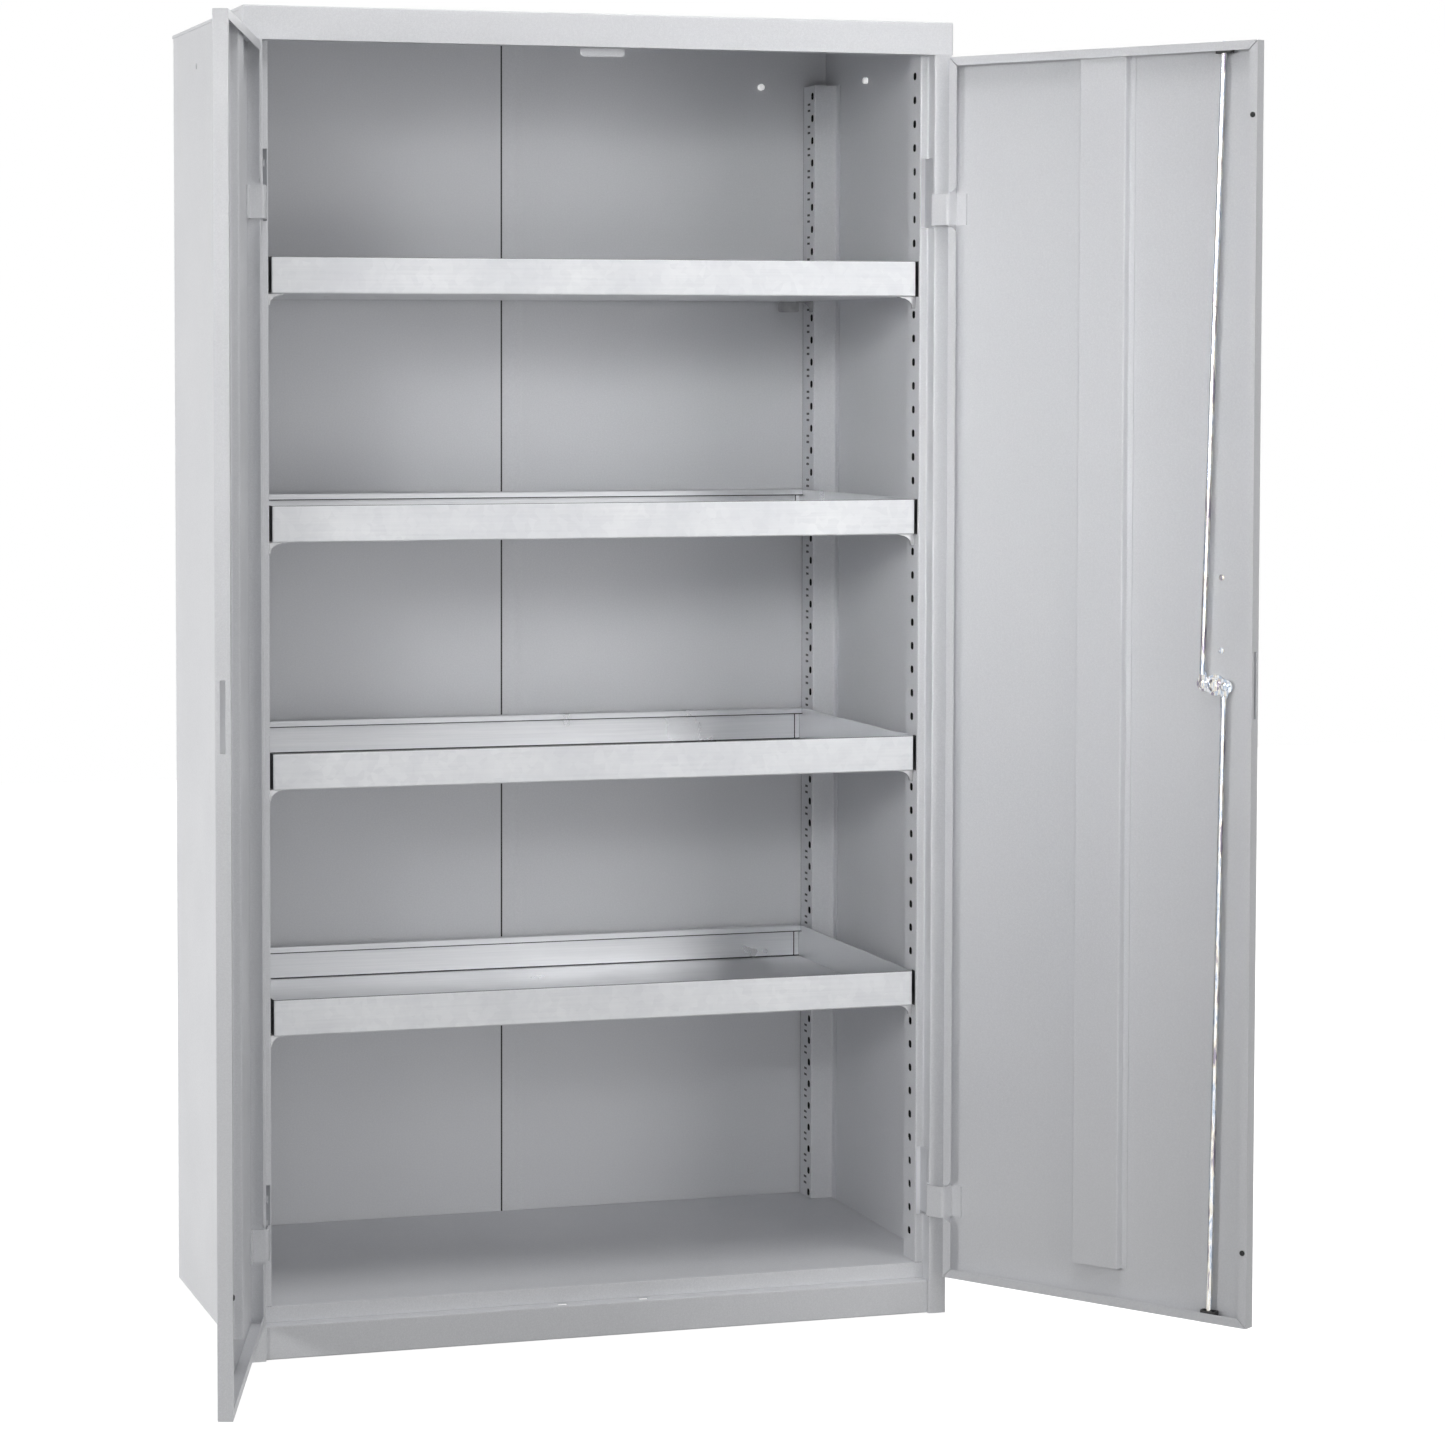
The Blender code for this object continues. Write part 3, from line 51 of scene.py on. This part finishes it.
# Light: name, place, target, size, power and beam angle of each softbox
WORLD_LIGHT = 0.05
SOFTBOXES = (
    ("left", (-4.2, -2.6, 1.6), (-0.2, 0.1, 0.9), (0.8, 0.8), 53, 180),
    ("side_left", (-3.6, 1.2, 1.0), (-0.5, 0.2, 0.8), (2.0, 2.0), 57, 180),
    ("front_left", (-2.6, -4.6, 2.4), (-0.1, 0, 1.2), (1.8, 1.8), 19, 180),
    ("right", (2.8, -4.5, 1.6), (0.2, 0.1, 0.9), (2.4, 2.4), 57, 180),
    ("top", (0.3, -1.2, 4.0), (0, 0, 1.2), (2.6, 1.6), 52, 180),
    ("low", (-1.2, -5.0, 0.5), (0.1, 0.1, 0.5), (1.6, 0.8), 3, 70),
    ("beam_right", (-1.9, -3.9, 2.2), (0.48, 0.2, 1.2), (0.8, 0.8), 1.6, 26),
    ("back", (3.2, 3.6, 2.2), (0.1, 0.3, 0.9), (2.4, 2.4), 95, 180),
)

# Floor: shade for scattered light, and its own white, a little less within the reach
FLOOR_SIZE = 14
FLOOR_DROP = 0.0005
FLOOR_SHADE = 0.12
FLOOR_ROUGHNESS = 0.6
FLOOR_GLOW = 0.92
FLOOR_GLOW_REACH = (0.6, 1.6)

# Insides of the folded posts and uprights, seen through their slots, painted near black as shade: |X|,
# Y and Z spans
HOLLOW_X = (0.4615, 0.4979)
POST_HOLLOW_Y = (0.0062, 0.0498)
POST_HOLLOW_Z = (0.045, 1.755)
SLOT_END_Y = 0.040
UPRIGHT_HOLLOW_Y = (0.4302, 0.4790)
UPRIGHT_HOLLOW_Z = (0, 1.744)

# Hinge windows of the posts: levels, and a painted glow there that stands in for the light that falls
# in
WINDOW_LEVELS = ((0.125, 0.240), (1.508, 1.622))
WINDOW_X = 0.476
WINDOW_DEPTH_Y = (0.0498, 0.0780)
WINDOW_PAINTED_GLOW = 0.30
WINDOW_DEPTH_PAINTED_GLOW = 0.15

# Seam of the back, as a distance to the left, and the small holes between the rear slots, painted dark
# as the shade in them
SEAM_LEFT = (0.0096, 0.0116)
SEAM_Y = (0.4760, 0.4790)
SLOT_PITCH = 0.03305
SLOT_TOP_Z = 1.7285
SLOT_LOW_Z = 0.0760
SMALL_HOLE_X = (0.4605, 0.4617)
SMALL_HOLE_Y = (0.4482, 0.4594)
SMALL_HOLE_DROPS = ((0.0099, 0.0131), (0.0192, 0.0224))

# Trays: underside of the top one and step to the next, then the places of their bends
TRAY_LOW_Z = 1.4227
TRAY_STEP = 0.3305
TRAY_FLOOR = (0.0008, 0.0016)
INNER_Y = 0.0118
INNER_END_Y = 1
SIDE_WALL_X = (0.4546, 0.4560)
REAR_WALL_Y = (0.4690, 0.4712)
# Lines of painted shade at the bends, under the rim and in the rear corners, and a dark line on the
# fronts' top edge
BEND_LINE = (0.0012, 0.0027)
RIM_LINE = (0.0394, 0.0408)
RIM_Y = (0.4570, 0.4601)
CORNER_LINE_X = (0.4466, 0.4482)
FRONT_EDGE_Y = (0.0080, 0.0100)
TOP_EDGE = (0.0484, 0.0496)

# Painted shade in the gaps between the trays' ends and the slotted strips of the posts
GAP_Y = (0.0098, 0.0440)
GAP_TRAY_X = (0.4562, 0.4580)
GAP_STRIP_X = (0.4600, 0.4612)
GAP_STRIP_Y = (0.0098, 0.0215)
GAP_RISE = (0.0, 0.0490)
GAP_LEVELS = (0.4300, 1.4720)

# Powder coat: colours, then noises as (scale, detail, roughness), then gloss and orange peel
COAT_DARK = (0.66, 0.667, 0.69)
COAT_LIGHT = (0.78, 0.787, 0.81)
COAT_SPECK = (0.60, 0.607, 0.63)
COAT_TINT = (0.74, 0.743, 0.758)
COAT_SPECK_SHARE = 0.45
COAT_TINT_SHARE = 0.35
COAT_GRAIN = (1400, 2, 0.6)
COAT_SPECKLE = (420, 2, 0.6)
COAT_CLOUD = (2.2, 2, 0.5)
COAT_GLOSS = (9, 3, 0.5)
COAT_ROUGHNESS = (0.36, 0.50)
COAT_PEEL = (700, 2, 0.55)
COAT_PEEL_BUMP = (0.22, 0.0006)
# Near black for the painted shade of hollows, holes and gaps and for the seam; then the colour of the
# painted glow in the hinge windows
SHADE_AND_SEAM_COLOUR = (0.004, 0.004, 0.004)
WINDOW_PAINTED_LIGHT = (0.95, 0.96, 1)

# Galvanised sheet: spangle, rolled streaks and worn clouds, and its look behind the fronts, lighter as
# painted light, more metallic and glossier
SPANGLE_SCALE = 95
SPANGLE_DARK = (0.66, 0.67, 0.69)
SPANGLE_LIGHT = (0.73, 0.74, 0.755)
SPANGLE_BUMP = (0.06, 0.0004)
STREAK_STRETCH = (1.2, 30, 60)
STREAK = (6, 4, 0.6)
STREAK_COLOUR = (0.80, 0.805, 0.815)
STREAK_SHARE = 0.5
WEAR = (7, 4, 0.6)
WEAR_COLOUR = (0.60, 0.61, 0.64)
WEAR_SHARE = 0.6
ZINC_ROUGHNESS = (0.46, 0.60)
FRONT_METAL = 0.25
INNER_METAL = 0.78
INNER_GLOSS = 0.42
INNER_PAINTED_LIGHT_COLOUR = (0.80, 0.805, 0.82)
SMEAR_COLOUR = (0.70, 0.71, 0.73)
SMEAR_SHARE = 0.7
# Darker side walls of the trays, and painted shade on their floors growing to the right
DARK_ZINC_COLOUR = (0.40, 0.405, 0.42)
WALL_DARKENING = 0.7
TRAY_FLOOR_PAINTED_SHADE = 0.8
TRAY_FLOOR_SHADE_REACH_X = (0.10, 0.42)
SHADE_LINE_COLOUR = (0.03, 0.03, 0.032)

# Pressed clips: painted shade on the plates behind, painted light in front of CLIP_FRONT_Y
CLIP_FRONT_Y = 0.1
CLIP_SHADED = ((0.30, 0.30, 0.31), (0.44, 0.44, 0.45))
CLIP_LIT = ((0.40, 0.40, 0.41), (0.56, 0.56, 0.57))
CLIP_CLOUD = (90, 3, 0.5)
CLIP_METAL = 0.7
CLIP_ROUGHNESS = 0.28
CLIP_ROUGHNESS_RISE = 0.12

# Zinc plating: place and colour of each stop of its shimmer
SHIMMER_STRETCH = (1, 1, 0.12)
SHIMMER = (150, 3, 0.6)
SHIMMER_STOPS = (
    (0.38, (0.34, 0.31, 0.38)),
    (0.44, (0.80, 0.76, 0.66)),
    (0.50, (0.84, 0.85, 0.86)),
    (0.56, (0.46, 0.54, 0.66)),
    (0.62, (0.84, 0.84, 0.86)),
)
PLATING_METAL = 0.85
PLATING_GLOSS = (180, 2, 0.5)
PLATING_ROUGHNESS = (0.10, 0.20)

# Turned steel
STEEL_STRETCH = (1, 1, 20)
STEEL_GRAIN = (300, 3, 0.5)
STEEL_COLOURS = ((0.44, 0.44, 0.45), (0.56, 0.56, 0.57))
STEEL_ROUGHNESS = (0.22, 0.36)

# Moulded black: colours, bump and gloss of both, then roughness and grain of each
BLACK_COLOURS = ((0.014, 0.014, 0.015), (0.028, 0.028, 0.029))
BLACK_BUMP = (0.15, 0.0002)
BLACK_GLOSS = (40, 3, 0.5)
PLASTIC_ROUGHNESS = (0.38, 0.52)
PLASTIC_GRAIN = (900, 2, 0.5)
RUBBER_ROUGHNESS = (0.65, 0.80)
RUBBER_GRAIN = (500, 2, 0.5)

# White plugs that close the fixing holes: shape, places on the right, and finish with a painted glow
PLUG_RADIUS = 0.0043
PLUG_REACH = 0.0070
PLUG_RECESS = 0.0020
PLUG_EDGE = 0.0008
PLUG_SIDES = 24
SHARP_DEG = 40
PLUG_SIDE = (0.4985, 0.3075, 1.743)
PLUG_BACK = (0.393, 0.4795, 1.743)
PLUG_COLOURS = ((0.80, 0.80, 0.79), (0.88, 0.88, 0.87))
PLUG_CLOUD = (300, 2, 0.5)
PLUG_GLOSS = (120, 2, 0.5)
PLUG_ROUGHNESS = (0.35, 0.50)
PLUG_PAINTED_GLOW = 0.45

WHITE = (1, 1, 1)
NOISE_RANGE = (0.3, 0.7)


# Node helpers

def new_material(name):
    made = bpy.data.materials.new(name)
    made.use_nodes = True
    tree = made.node_tree
    return made, tree, tree.nodes["Principled BSDF"]


def feed(tree, value, socket):
    """Link a socket into a socket, or set its value from a number or a colour."""
    if isinstance(value, bpy.types.NodeSocket):
        tree.links.new(value, socket)
    elif isinstance(value, tuple):
        socket.default_value = (*value, 1)
    else:
        socket.default_value = value


def look(tree, shader, **inputs):
    """Feed the shader's inputs, named in lower case with _ for a space."""
    for name, value in inputs.items():
        feed(tree, value, shader.inputs[name.replace("_", " ").title()])


def object_point(tree, stretch=(1, 1, 1)):
    """Position in metres, stretched along the axes."""
    point = tree.nodes.new("ShaderNodeTexCoord")
    mapping = tree.nodes.new("ShaderNodeMapping")
    mapping.inputs["Scale"].default_value = stretch
    tree.links.new(point.outputs["Object"], mapping.inputs["Vector"])
    return mapping.outputs["Vector"]


def noise(tree, point, scale, detail, roughness):
    node = tree.nodes.new("ShaderNodeTexNoise")
    look(tree, node, vector=point, scale=scale, detail=detail, roughness=roughness)
    return node.outputs["Fac"]


def span(tree, value, low, high, from_low=NOISE_RANGE[0], from_high=NOISE_RANGE[1]):
    """Stretch a value between two limits, as a noise has them, over low to high."""
    node = tree.nodes.new("ShaderNodeMapRange")
    look(tree, node, value=value, from_min=from_low, from_max=from_high, to_min=low, to_max=high)
    return node.outputs["Result"]


def mixed(tree, factor, first, second):
    """Mix of two colours, each a colour or a socket, by a factor socket."""
    node = tree.nodes.new("ShaderNodeMix")
    node.data_type = "RGBA"
    feed(tree, factor, node.inputs[0])
    feed(tree, first, node.inputs[6])
    feed(tree, second, node.inputs[7])
    return node.outputs[2]


def bumped(tree, height, strength, distance):
    """Normal of a surface that rises with height."""
    node = tree.nodes.new("ShaderNodeBump")
    look(tree, node, height=height, strength=strength, distance=distance)
    return node.outputs["Normal"]


def math_node(tree, operation, first, second=0.0):
    node = tree.nodes.new("ShaderNodeMath")
    node.operation = operation
    feed(tree, first, node.inputs[0])
    feed(tree, second, node.inputs[1])
    return node.outputs[0]


def product(tree, *values):
    result = values[0]
    for value in values[1:]:
        result = math_node(tree, "MULTIPLY", result, value)
    return result


def either(tree, *masks):
    result = masks[0]
    for mask in masks[1:]:
        result = math_node(tree, "MAXIMUM", result, mask)
    return result


def between(tree, value, low, high):
    return product(tree, math_node(tree, "GREATER_THAN", value, low),
                   math_node(tree, "LESS_THAN", value, high))


def inside(tree, *limits):
    """1 where every (value, low, high) holds, else 0."""
    return product(tree, *(between(tree, *limit) for limit in limits))


def places(tree, point):
    """Signed X, |X|, Y and Z of a point."""
    split = tree.nodes.new("ShaderNodeSeparateXYZ")
    tree.links.new(point, split.inputs[0])
    x, y, z = split.outputs
    return x, math_node(tree, "ABSOLUTE", x), y, z


# Masks by place: a CAD node's mesh holds its place, so these are the world's coordinates at rest

def window_levels(tree, z):
    return either(tree, *(between(tree, z, *level) for level in WINDOW_LEVELS))


def window_painted_glow(tree, point):
    """Painted light: an emission on the inside of the front posts behind the hinge windows, standing in
    for what comes in there.
    """
    _, side, y, z = places(tree, point)
    near = inside(tree, (side, WINDOW_X, HOLLOW_X[1]), (y, *POST_HOLLOW_Y))
    deep = inside(tree, (side, WINDOW_X, HOLLOW_X[1]), (y, *WINDOW_DEPTH_Y))
    glow = math_node(tree, "ADD", product(tree, near, WINDOW_PAINTED_GLOW),
                     product(tree, deep, WINDOW_DEPTH_PAINTED_GLOW))
    return product(tree, glow, window_levels(tree, z))


def shade_and_seam_places(tree, point):
    """Painted shade, near black, in the hollows behind the slots, the small holes of the rear uprights
    and the gaps beside the trays' ends; and the back's seam as a dark joint.
    """
    x, side, y, z = places(tree, point)
    closed = math_node(tree, "SUBTRACT", 1.0, window_levels(tree, z))
    post = product(tree, closed,
                   inside(tree, (side, *HOLLOW_X), (y, *POST_HOLLOW_Y), (z, *POST_HOLLOW_Z)))
    slot_ends = inside(tree, (side, HOLLOW_X[0], WINDOW_X), (y, SLOT_END_Y, POST_HOLLOW_Y[1]),
                       (z, *POST_HOLLOW_Z))
    upright = inside(tree, (side, *HOLLOW_X), (y, *UPRIGHT_HOLLOW_Y), (z, *UPRIGHT_HOLLOW_Z))
    seam = inside(tree, (product(tree, x, -1.0), *SEAM_LEFT), (y, *SEAM_Y))
    drop = math_node(tree, "FLOORED_MODULO", math_node(tree, "SUBTRACT", SLOT_TOP_Z, z), SLOT_PITCH)
    row = inside(tree, (side, *SMALL_HOLE_X), (y, *SMALL_HOLE_Y), (z, SLOT_LOW_Z, SLOT_TOP_Z))
    holes = product(tree, row, either(tree, *(between(tree, drop, *part) for part in SMALL_HOLE_DROPS)))
    gaps = inside(tree, (side, *GAP_STRIP_X), (y, *GAP_STRIP_Y), (z, *GAP_LEVELS),
                  (tray_rise(tree, z), *GAP_RISE))
    return either(tree, post, slot_ends, upright, seam, holes, gaps)


def tray_rise(tree, z):
    """Height above the underside of the tray that stands at this level."""
    return math_node(tree, "FLOORED_MODULO", math_node(tree, "SUBTRACT", z, TRAY_LOW_Z), TRAY_STEP)


def darkened_places(tree, point):
    """Darker zinc: the trays' side walls and, growing to the right, painted shade on their floors."""
    x, side, y, z = places(tree, point)
    wall = product(tree, WALL_DARKENING, inside(tree, (side, *SIDE_WALL_X), (y, INNER_Y, INNER_END_Y)))
    growth = span(tree, x, 0, TRAY_FLOOR_PAINTED_SHADE, *TRAY_FLOOR_SHADE_REACH_X)
    floor = product(tree, growth, between(tree, tray_rise(tree, z), *TRAY_FLOOR))
    return either(tree, wall, floor)


def tray_places(tree, point):
    """Mask of what lies behind the trays' fronts, and of the lines of painted shade along bends, under
    the rim, in the rear corners and at the ends, with a dark line on the fronts' top edge.
    """
    _, side, y, z = places(tree, point)
    rise = tray_rise(tree, z)
    inner = math_node(tree, "GREATER_THAN", y, INNER_Y)
    lines = either(tree, inside(tree, (rise, *BEND_LINE), (y, *REAR_WALL_Y)),
                   inside(tree, (rise, *RIM_LINE), (y, *RIM_Y)),
                   inside(tree, (side, *CORNER_LINE_X), (y, *REAR_WALL_Y)),
                   inside(tree, (rise, *TOP_EDGE), (y, *FRONT_EDGE_Y)),
                   inside(tree, (side, *GAP_TRAY_X), (y, *GAP_Y)))
    return inner, lines


# Finishes

def powder_coat():
    """Light grey textured powder coat: fine grain, soft orange peel, faint uneven gloss, with painted
    shade in the hollows and a painted glow in the hinge windows.
    """
    made, tree, shader = new_material("look_powder_coat")
    point = object_point(tree)
    grain = noise(tree, point, *COAT_GRAIN)
    speckle = noise(tree, point, *COAT_SPECKLE)
    cloud = noise(tree, point, *COAT_CLOUD)
    base = mixed(tree, span(tree, grain, 0, 1), COAT_DARK, COAT_LIGHT)
    speckled = mixed(tree, span(tree, speckle, 0, COAT_SPECK_SHARE), base, COAT_SPECK)
    tinted = mixed(tree, span(tree, cloud, 0, COAT_TINT_SHARE), speckled, COAT_TINT)
    # Base colour holds the painted shade of hollows, holes and gaps, and the seam; the emission is the
    # painted glow of the hinge windows
    look(tree, shader,
         base_color=mixed(tree, shade_and_seam_places(tree, point), tinted, SHADE_AND_SEAM_COLOUR),
         roughness=span(tree, noise(tree, point, *COAT_GLOSS), *COAT_ROUGHNESS),
         emission_color=WINDOW_PAINTED_LIGHT,
         emission_strength=window_painted_glow(tree, point),
         normal=bumped(tree, noise(tree, point, *COAT_PEEL), *COAT_PEEL_BUMP))
    return made


def galvanised():
    """Galvanised sheet: spangle, rolled streaks, worn clouds, insides lighter as painted light, darker
    side walls, painted shade on the floors, and lines of painted shade.
    """
    made, tree, shader = new_material("look_galvanised")
    point = object_point(tree)
    crystals = tree.nodes.new("ShaderNodeTexVoronoi")
    look(tree, crystals, vector=point, scale=SPANGLE_SCALE)
    split = tree.nodes.new("ShaderNodeSeparateColor")
    tree.links.new(crystals.outputs["Color"], split.inputs["Color"])
    grey, lift = split.outputs[:2]
    streaks = noise(tree, object_point(tree, STREAK_STRETCH), *STREAK)
    clouds = noise(tree, point, *WEAR)
    spangle = mixed(tree, grey, SPANGLE_DARK, SPANGLE_LIGHT)
    rolled = mixed(tree, span(tree, streaks, 0, STREAK_SHARE), spangle, STREAK_COLOUR)
    worn = mixed(tree, span(tree, clouds, 0, WEAR_SHARE), rolled, WEAR_COLOUR)
    inner, lines = tray_places(tree, point)
    # The insides are a lighter copy of the same zinc: painted light
    bright = mixed(tree, inner, worn, INNER_PAINTED_LIGHT_COLOUR)
    smear = product(tree, inner, span(tree, streaks, 0, SMEAR_SHARE))
    smeared = mixed(tree, smear, bright, SMEAR_COLOUR)
    # Darker side walls and painted shade on the floors
    darkened = mixed(tree, darkened_places(tree, point), smeared, DARK_ZINC_COLOUR)
    gloss = math_node(tree, "SUBTRACT", 1.0, product(tree, inner, INNER_GLOSS))
    # Over all, the lines of painted shade
    look(tree, shader,
         base_color=mixed(tree, lines, darkened, SHADE_LINE_COLOUR),
         metallic=span(tree, inner, FRONT_METAL, INNER_METAL, 0, 1),
         roughness=product(tree, span(tree, clouds, *ZINC_ROUGHNESS), gloss),
         normal=bumped(tree, lift, *SPANGLE_BUMP))
    return made


def clip_zinc():
    """Zinc of the pressed clips: painted light at the front, painted shade on the plates behind."""
    made, tree, shader = new_material("look_clip_zinc")
    point = object_point(tree)
    clouds = span(tree, noise(tree, point, *CLIP_CLOUD), 0, 1)
    front = math_node(tree, "LESS_THAN", places(tree, point)[2], CLIP_FRONT_Y)
    colour = mixed(tree, front, mixed(tree, clouds, *CLIP_SHADED), mixed(tree, clouds, *CLIP_LIT))
    rise = product(tree, clouds, CLIP_ROUGHNESS_RISE)
    look(tree, shader, base_color=colour, metallic=CLIP_METAL,
         roughness=math_node(tree, "ADD", rise, CLIP_ROUGHNESS))
    return made


def zinc():
    """Bright zinc plating with the faint rainbow of its passivation."""
    made, tree, shader = new_material("look_zinc")
    point = object_point(tree, SHIMMER_STRETCH)
    ramp = tree.nodes.new("ShaderNodeValToRGB")
    elements = ramp.color_ramp.elements
    while len(elements) < len(SHIMMER_STOPS):
        elements.new(1)
    for element, (place, colour) in zip(elements, SHIMMER_STOPS):
        element.position = place
        element.color = (*colour, 1)
    tree.links.new(noise(tree, point, *SHIMMER), ramp.inputs["Fac"])
    look(tree, shader, base_color=ramp.outputs["Color"], metallic=PLATING_METAL,
         roughness=span(tree, noise(tree, point, *PLATING_GLOSS), *PLATING_ROUGHNESS))
    return made


def turned_steel():
    """Steel with the fine rings of turning."""
    made, tree, shader = new_material("look_steel")
    fine = noise(tree, object_point(tree, STEEL_STRETCH), *STEEL_GRAIN)
    look(tree, shader, base_color=mixed(tree, span(tree, fine, 0, 1), *STEEL_COLOURS), metallic=1,
         roughness=span(tree, fine, *STEEL_ROUGHNESS))
    return made


def black(name, roughness, grain):
    """Moulded black: plastic or rubber, told apart by roughness and grain."""
    made, tree, shader = new_material(name)
    point = object_point(tree)
    grains = noise(tree, point, *grain)
    look(tree, shader, base_color=mixed(tree, span(tree, grains, 0, 1), *BLACK_COLOURS),
         roughness=span(tree, noise(tree, point, *BLACK_GLOSS), *roughness),
         normal=bumped(tree, grains, *BLACK_BUMP))
    return made


def white_plastic():
    """White of the plugs, with painted light of its own, an emission, because the holes are deep."""
    made, tree, shader = new_material("look_white_plastic")
    point = object_point(tree)
    shade = span(tree, noise(tree, point, *PLUG_CLOUD), 0, 1)
    look(tree, shader, base_color=mixed(tree, shade, *PLUG_COLOURS),
         roughness=span(tree, noise(tree, point, *PLUG_GLOSS), *PLUG_ROUGHNESS),
         emission_color=WHITE, emission_strength=PLUG_PAINTED_GLOW)
    return made


def dress_cad(looks):
    """Give every CAD node the finish of its material slot, and the clips their own."""
    for entry in frame["record"]["subparts"]:
        materials = frame["nodes"][entry["node"]].data.materials
        materials.clear()
        clip = entry["node"].startswith("clip_")
        materials.append(looks["clip" if clip else entry["material_slot"]])


# Small details

def ring(shape, radius, height):
    """Corners of one ring of a solid of revolution."""
    angles = [math.tau * k / PLUG_SIDES for k in range(PLUG_SIDES)]
    return [shape.verts.new((radius * math.cos(a), radius * math.sin(a), height)) for a in angles]


def turned(name, profile, place, normal):
    """Closed solid of revolution along a normal: profile is (radius, height) pairs."""
    shape = bmesh.new()
    rings = [ring(shape, *pair) for pair in profile]
    for lower, upper in zip(rings, rings[1:]):
        for k in range(PLUG_SIDES):
            after = (k + 1) % PLUG_SIDES
            shape.faces.new((lower[k], lower[after], upper[after], upper[k]))
    shape.faces.new(rings[0][::-1])
    shape.faces.new(rings[-1])
    aim = Vector(normal).to_track_quat("Z", "Y").to_matrix().to_4x4()
    shape.transform(Matrix.Translation(place) @ aim)
    bmesh.ops.recalc_face_normals(shape, faces=shape.faces)
    mesh = bpy.data.meshes.new(name)
    shape.to_mesh(mesh)
    shape.free()
    mesh.shade_smooth()
    mesh.set_sharp_from_angle(angle=math.radians(SHARP_DEG))
    made = bpy.data.objects.new(name, mesh)
    bpy.context.scene.collection.objects.link(made)
    return made


def fixing_plugs(material):
    """One plug in each fixing hole, standing into the cupboard."""
    profile = ((PLUG_RADIUS, PLUG_RECESS), (PLUG_RADIUS, PLUG_REACH - PLUG_EDGE),
               (PLUG_RADIUS - PLUG_EDGE, PLUG_REACH))
    for word, side in (("left", -1), ("right", 1)):
        holes = (("plug_side_", PLUG_SIDE, (-side, 0, 0)), ("plug_back_", PLUG_BACK, (0, -1, 0)))
        for name, (x, y, z), normal in holes:
            plug = turned(name + word, profile, (side * x, y, z), normal)
            plug.data.materials.append(material)
            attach(plug, "root")


# Studio

def area_light(name, place, target, size, power, beam_deg):
    data = bpy.data.lights.new(name, "AREA")
    data.shape = "RECTANGLE"
    data.size, data.size_y = size
    data.energy = power
    data.spread = math.radians(beam_deg)
    lamp = bpy.data.objects.new(name, data)
    bpy.context.scene.collection.objects.link(lamp)
    lamp.location = place
    lamp.rotation_euler = (Vector(target) - Vector(place)).to_track_quat("-Z", "Y").to_euler()


def seen_straight(tree):
    """1 for camera, glossy and transmission rays, so that metal shows the white studio too."""
    path = tree.nodes.new("ShaderNodeLightPath")
    rays = ("Camera", "Glossy", "Transmission")
    return either(tree, *(path.outputs["Is " + ray + " Ray"] for ray in rays))


def white_studio_world():
    """White where seen straight, and a weak light for all else."""
    world = bpy.data.worlds.new("studio")
    bpy.context.scene.world = world
    world.use_nodes = True
    tree = world.node_tree
    glow = tree.nodes["Background"]
    look(tree, glow, color=WHITE, strength=WORLD_LIGHT)
    white = tree.nodes.new("ShaderNodeBackground")
    look(tree, white, color=WHITE, strength=1)
    mix = tree.nodes.new("ShaderNodeMixShader")
    for value, socket in zip((seen_straight(tree), glow.outputs[0], white.outputs[0]), mix.inputs):
        tree.links.new(value, socket)
    tree.links.new(mix.outputs[0], tree.nodes["World Output"].inputs["Surface"])


def white_floor():
    """Pale floor: white where seen straight, a little less round the cupboard for its shadow."""
    bpy.ops.mesh.primitive_plane_add(size=FLOOR_SIZE, location=(0, 0, -FLOOR_DROP))
    floor = bpy.context.object
    floor.name = "floor"
    made, tree, shader = new_material("floor_white")
    look(tree, shader, base_color=(FLOOR_SHADE,) * 3, roughness=FLOOR_ROUGHNESS)
    reach = tree.nodes.new("ShaderNodeVectorMath")
    reach.operation = "LENGTH"
    tree.links.new(object_point(tree), reach.inputs[0])
    strength = span(tree, reach.outputs["Value"], FLOOR_GLOW, 1, *FLOOR_GLOW_REACH)
    white = tree.nodes.new("ShaderNodeEmission")
    look(tree, white, color=WHITE, strength=product(tree, seen_straight(tree), strength))
    both = tree.nodes.new("ShaderNodeAddShader")
    tree.links.new(shader.outputs[0], both.inputs[0])
    tree.links.new(white.outputs[0], both.inputs[1])
    tree.links.new(both.outputs[0], tree.nodes["Material Output"].inputs["Surface"])
    floor.data.materials.append(made)


def studio():
    white_studio_world()
    white_floor()
    for settings in SOFTBOXES:
        area_light(*settings)


def camera():
    data = bpy.data.cameras.new("photo_camera")
    data.sensor_width = CAMERA_SENSOR
    data.lens = CAMERA_LENS
    data.shift_x, data.shift_y = CAMERA_SHIFT
    data.clip_end = CAMERA_REACH
    eye = bpy.data.objects.new("photo_camera", data)
    scene = bpy.context.scene
    scene.collection.objects.link(eye)
    eye.location = CAMERA_PLACE
    eye.rotation_euler = (math.pi / 2 + CAMERA_PITCH, 0, -CAMERA_YAW)
    scene.camera = eye
    scene.render.resolution_x = IMAGE_SIZE
    scene.render.resolution_y = IMAGE_SIZE
    scene.view_settings.view_transform = "Standard"


dress_cad({
    "powder_coat": powder_coat(),
    "galvanised": galvanised(),
    "zinc": zinc(),
    "steel": turned_steel(),
    "clip": clip_zinc(),
    "black_plastic": black("look_black_plastic", PLASTIC_ROUGHNESS, PLASTIC_GRAIN),
    "rubber": black("look_rubber", RUBBER_ROUGHNESS, RUBBER_GRAIN),
})
fixing_plugs(white_plastic())
studio()
camera()
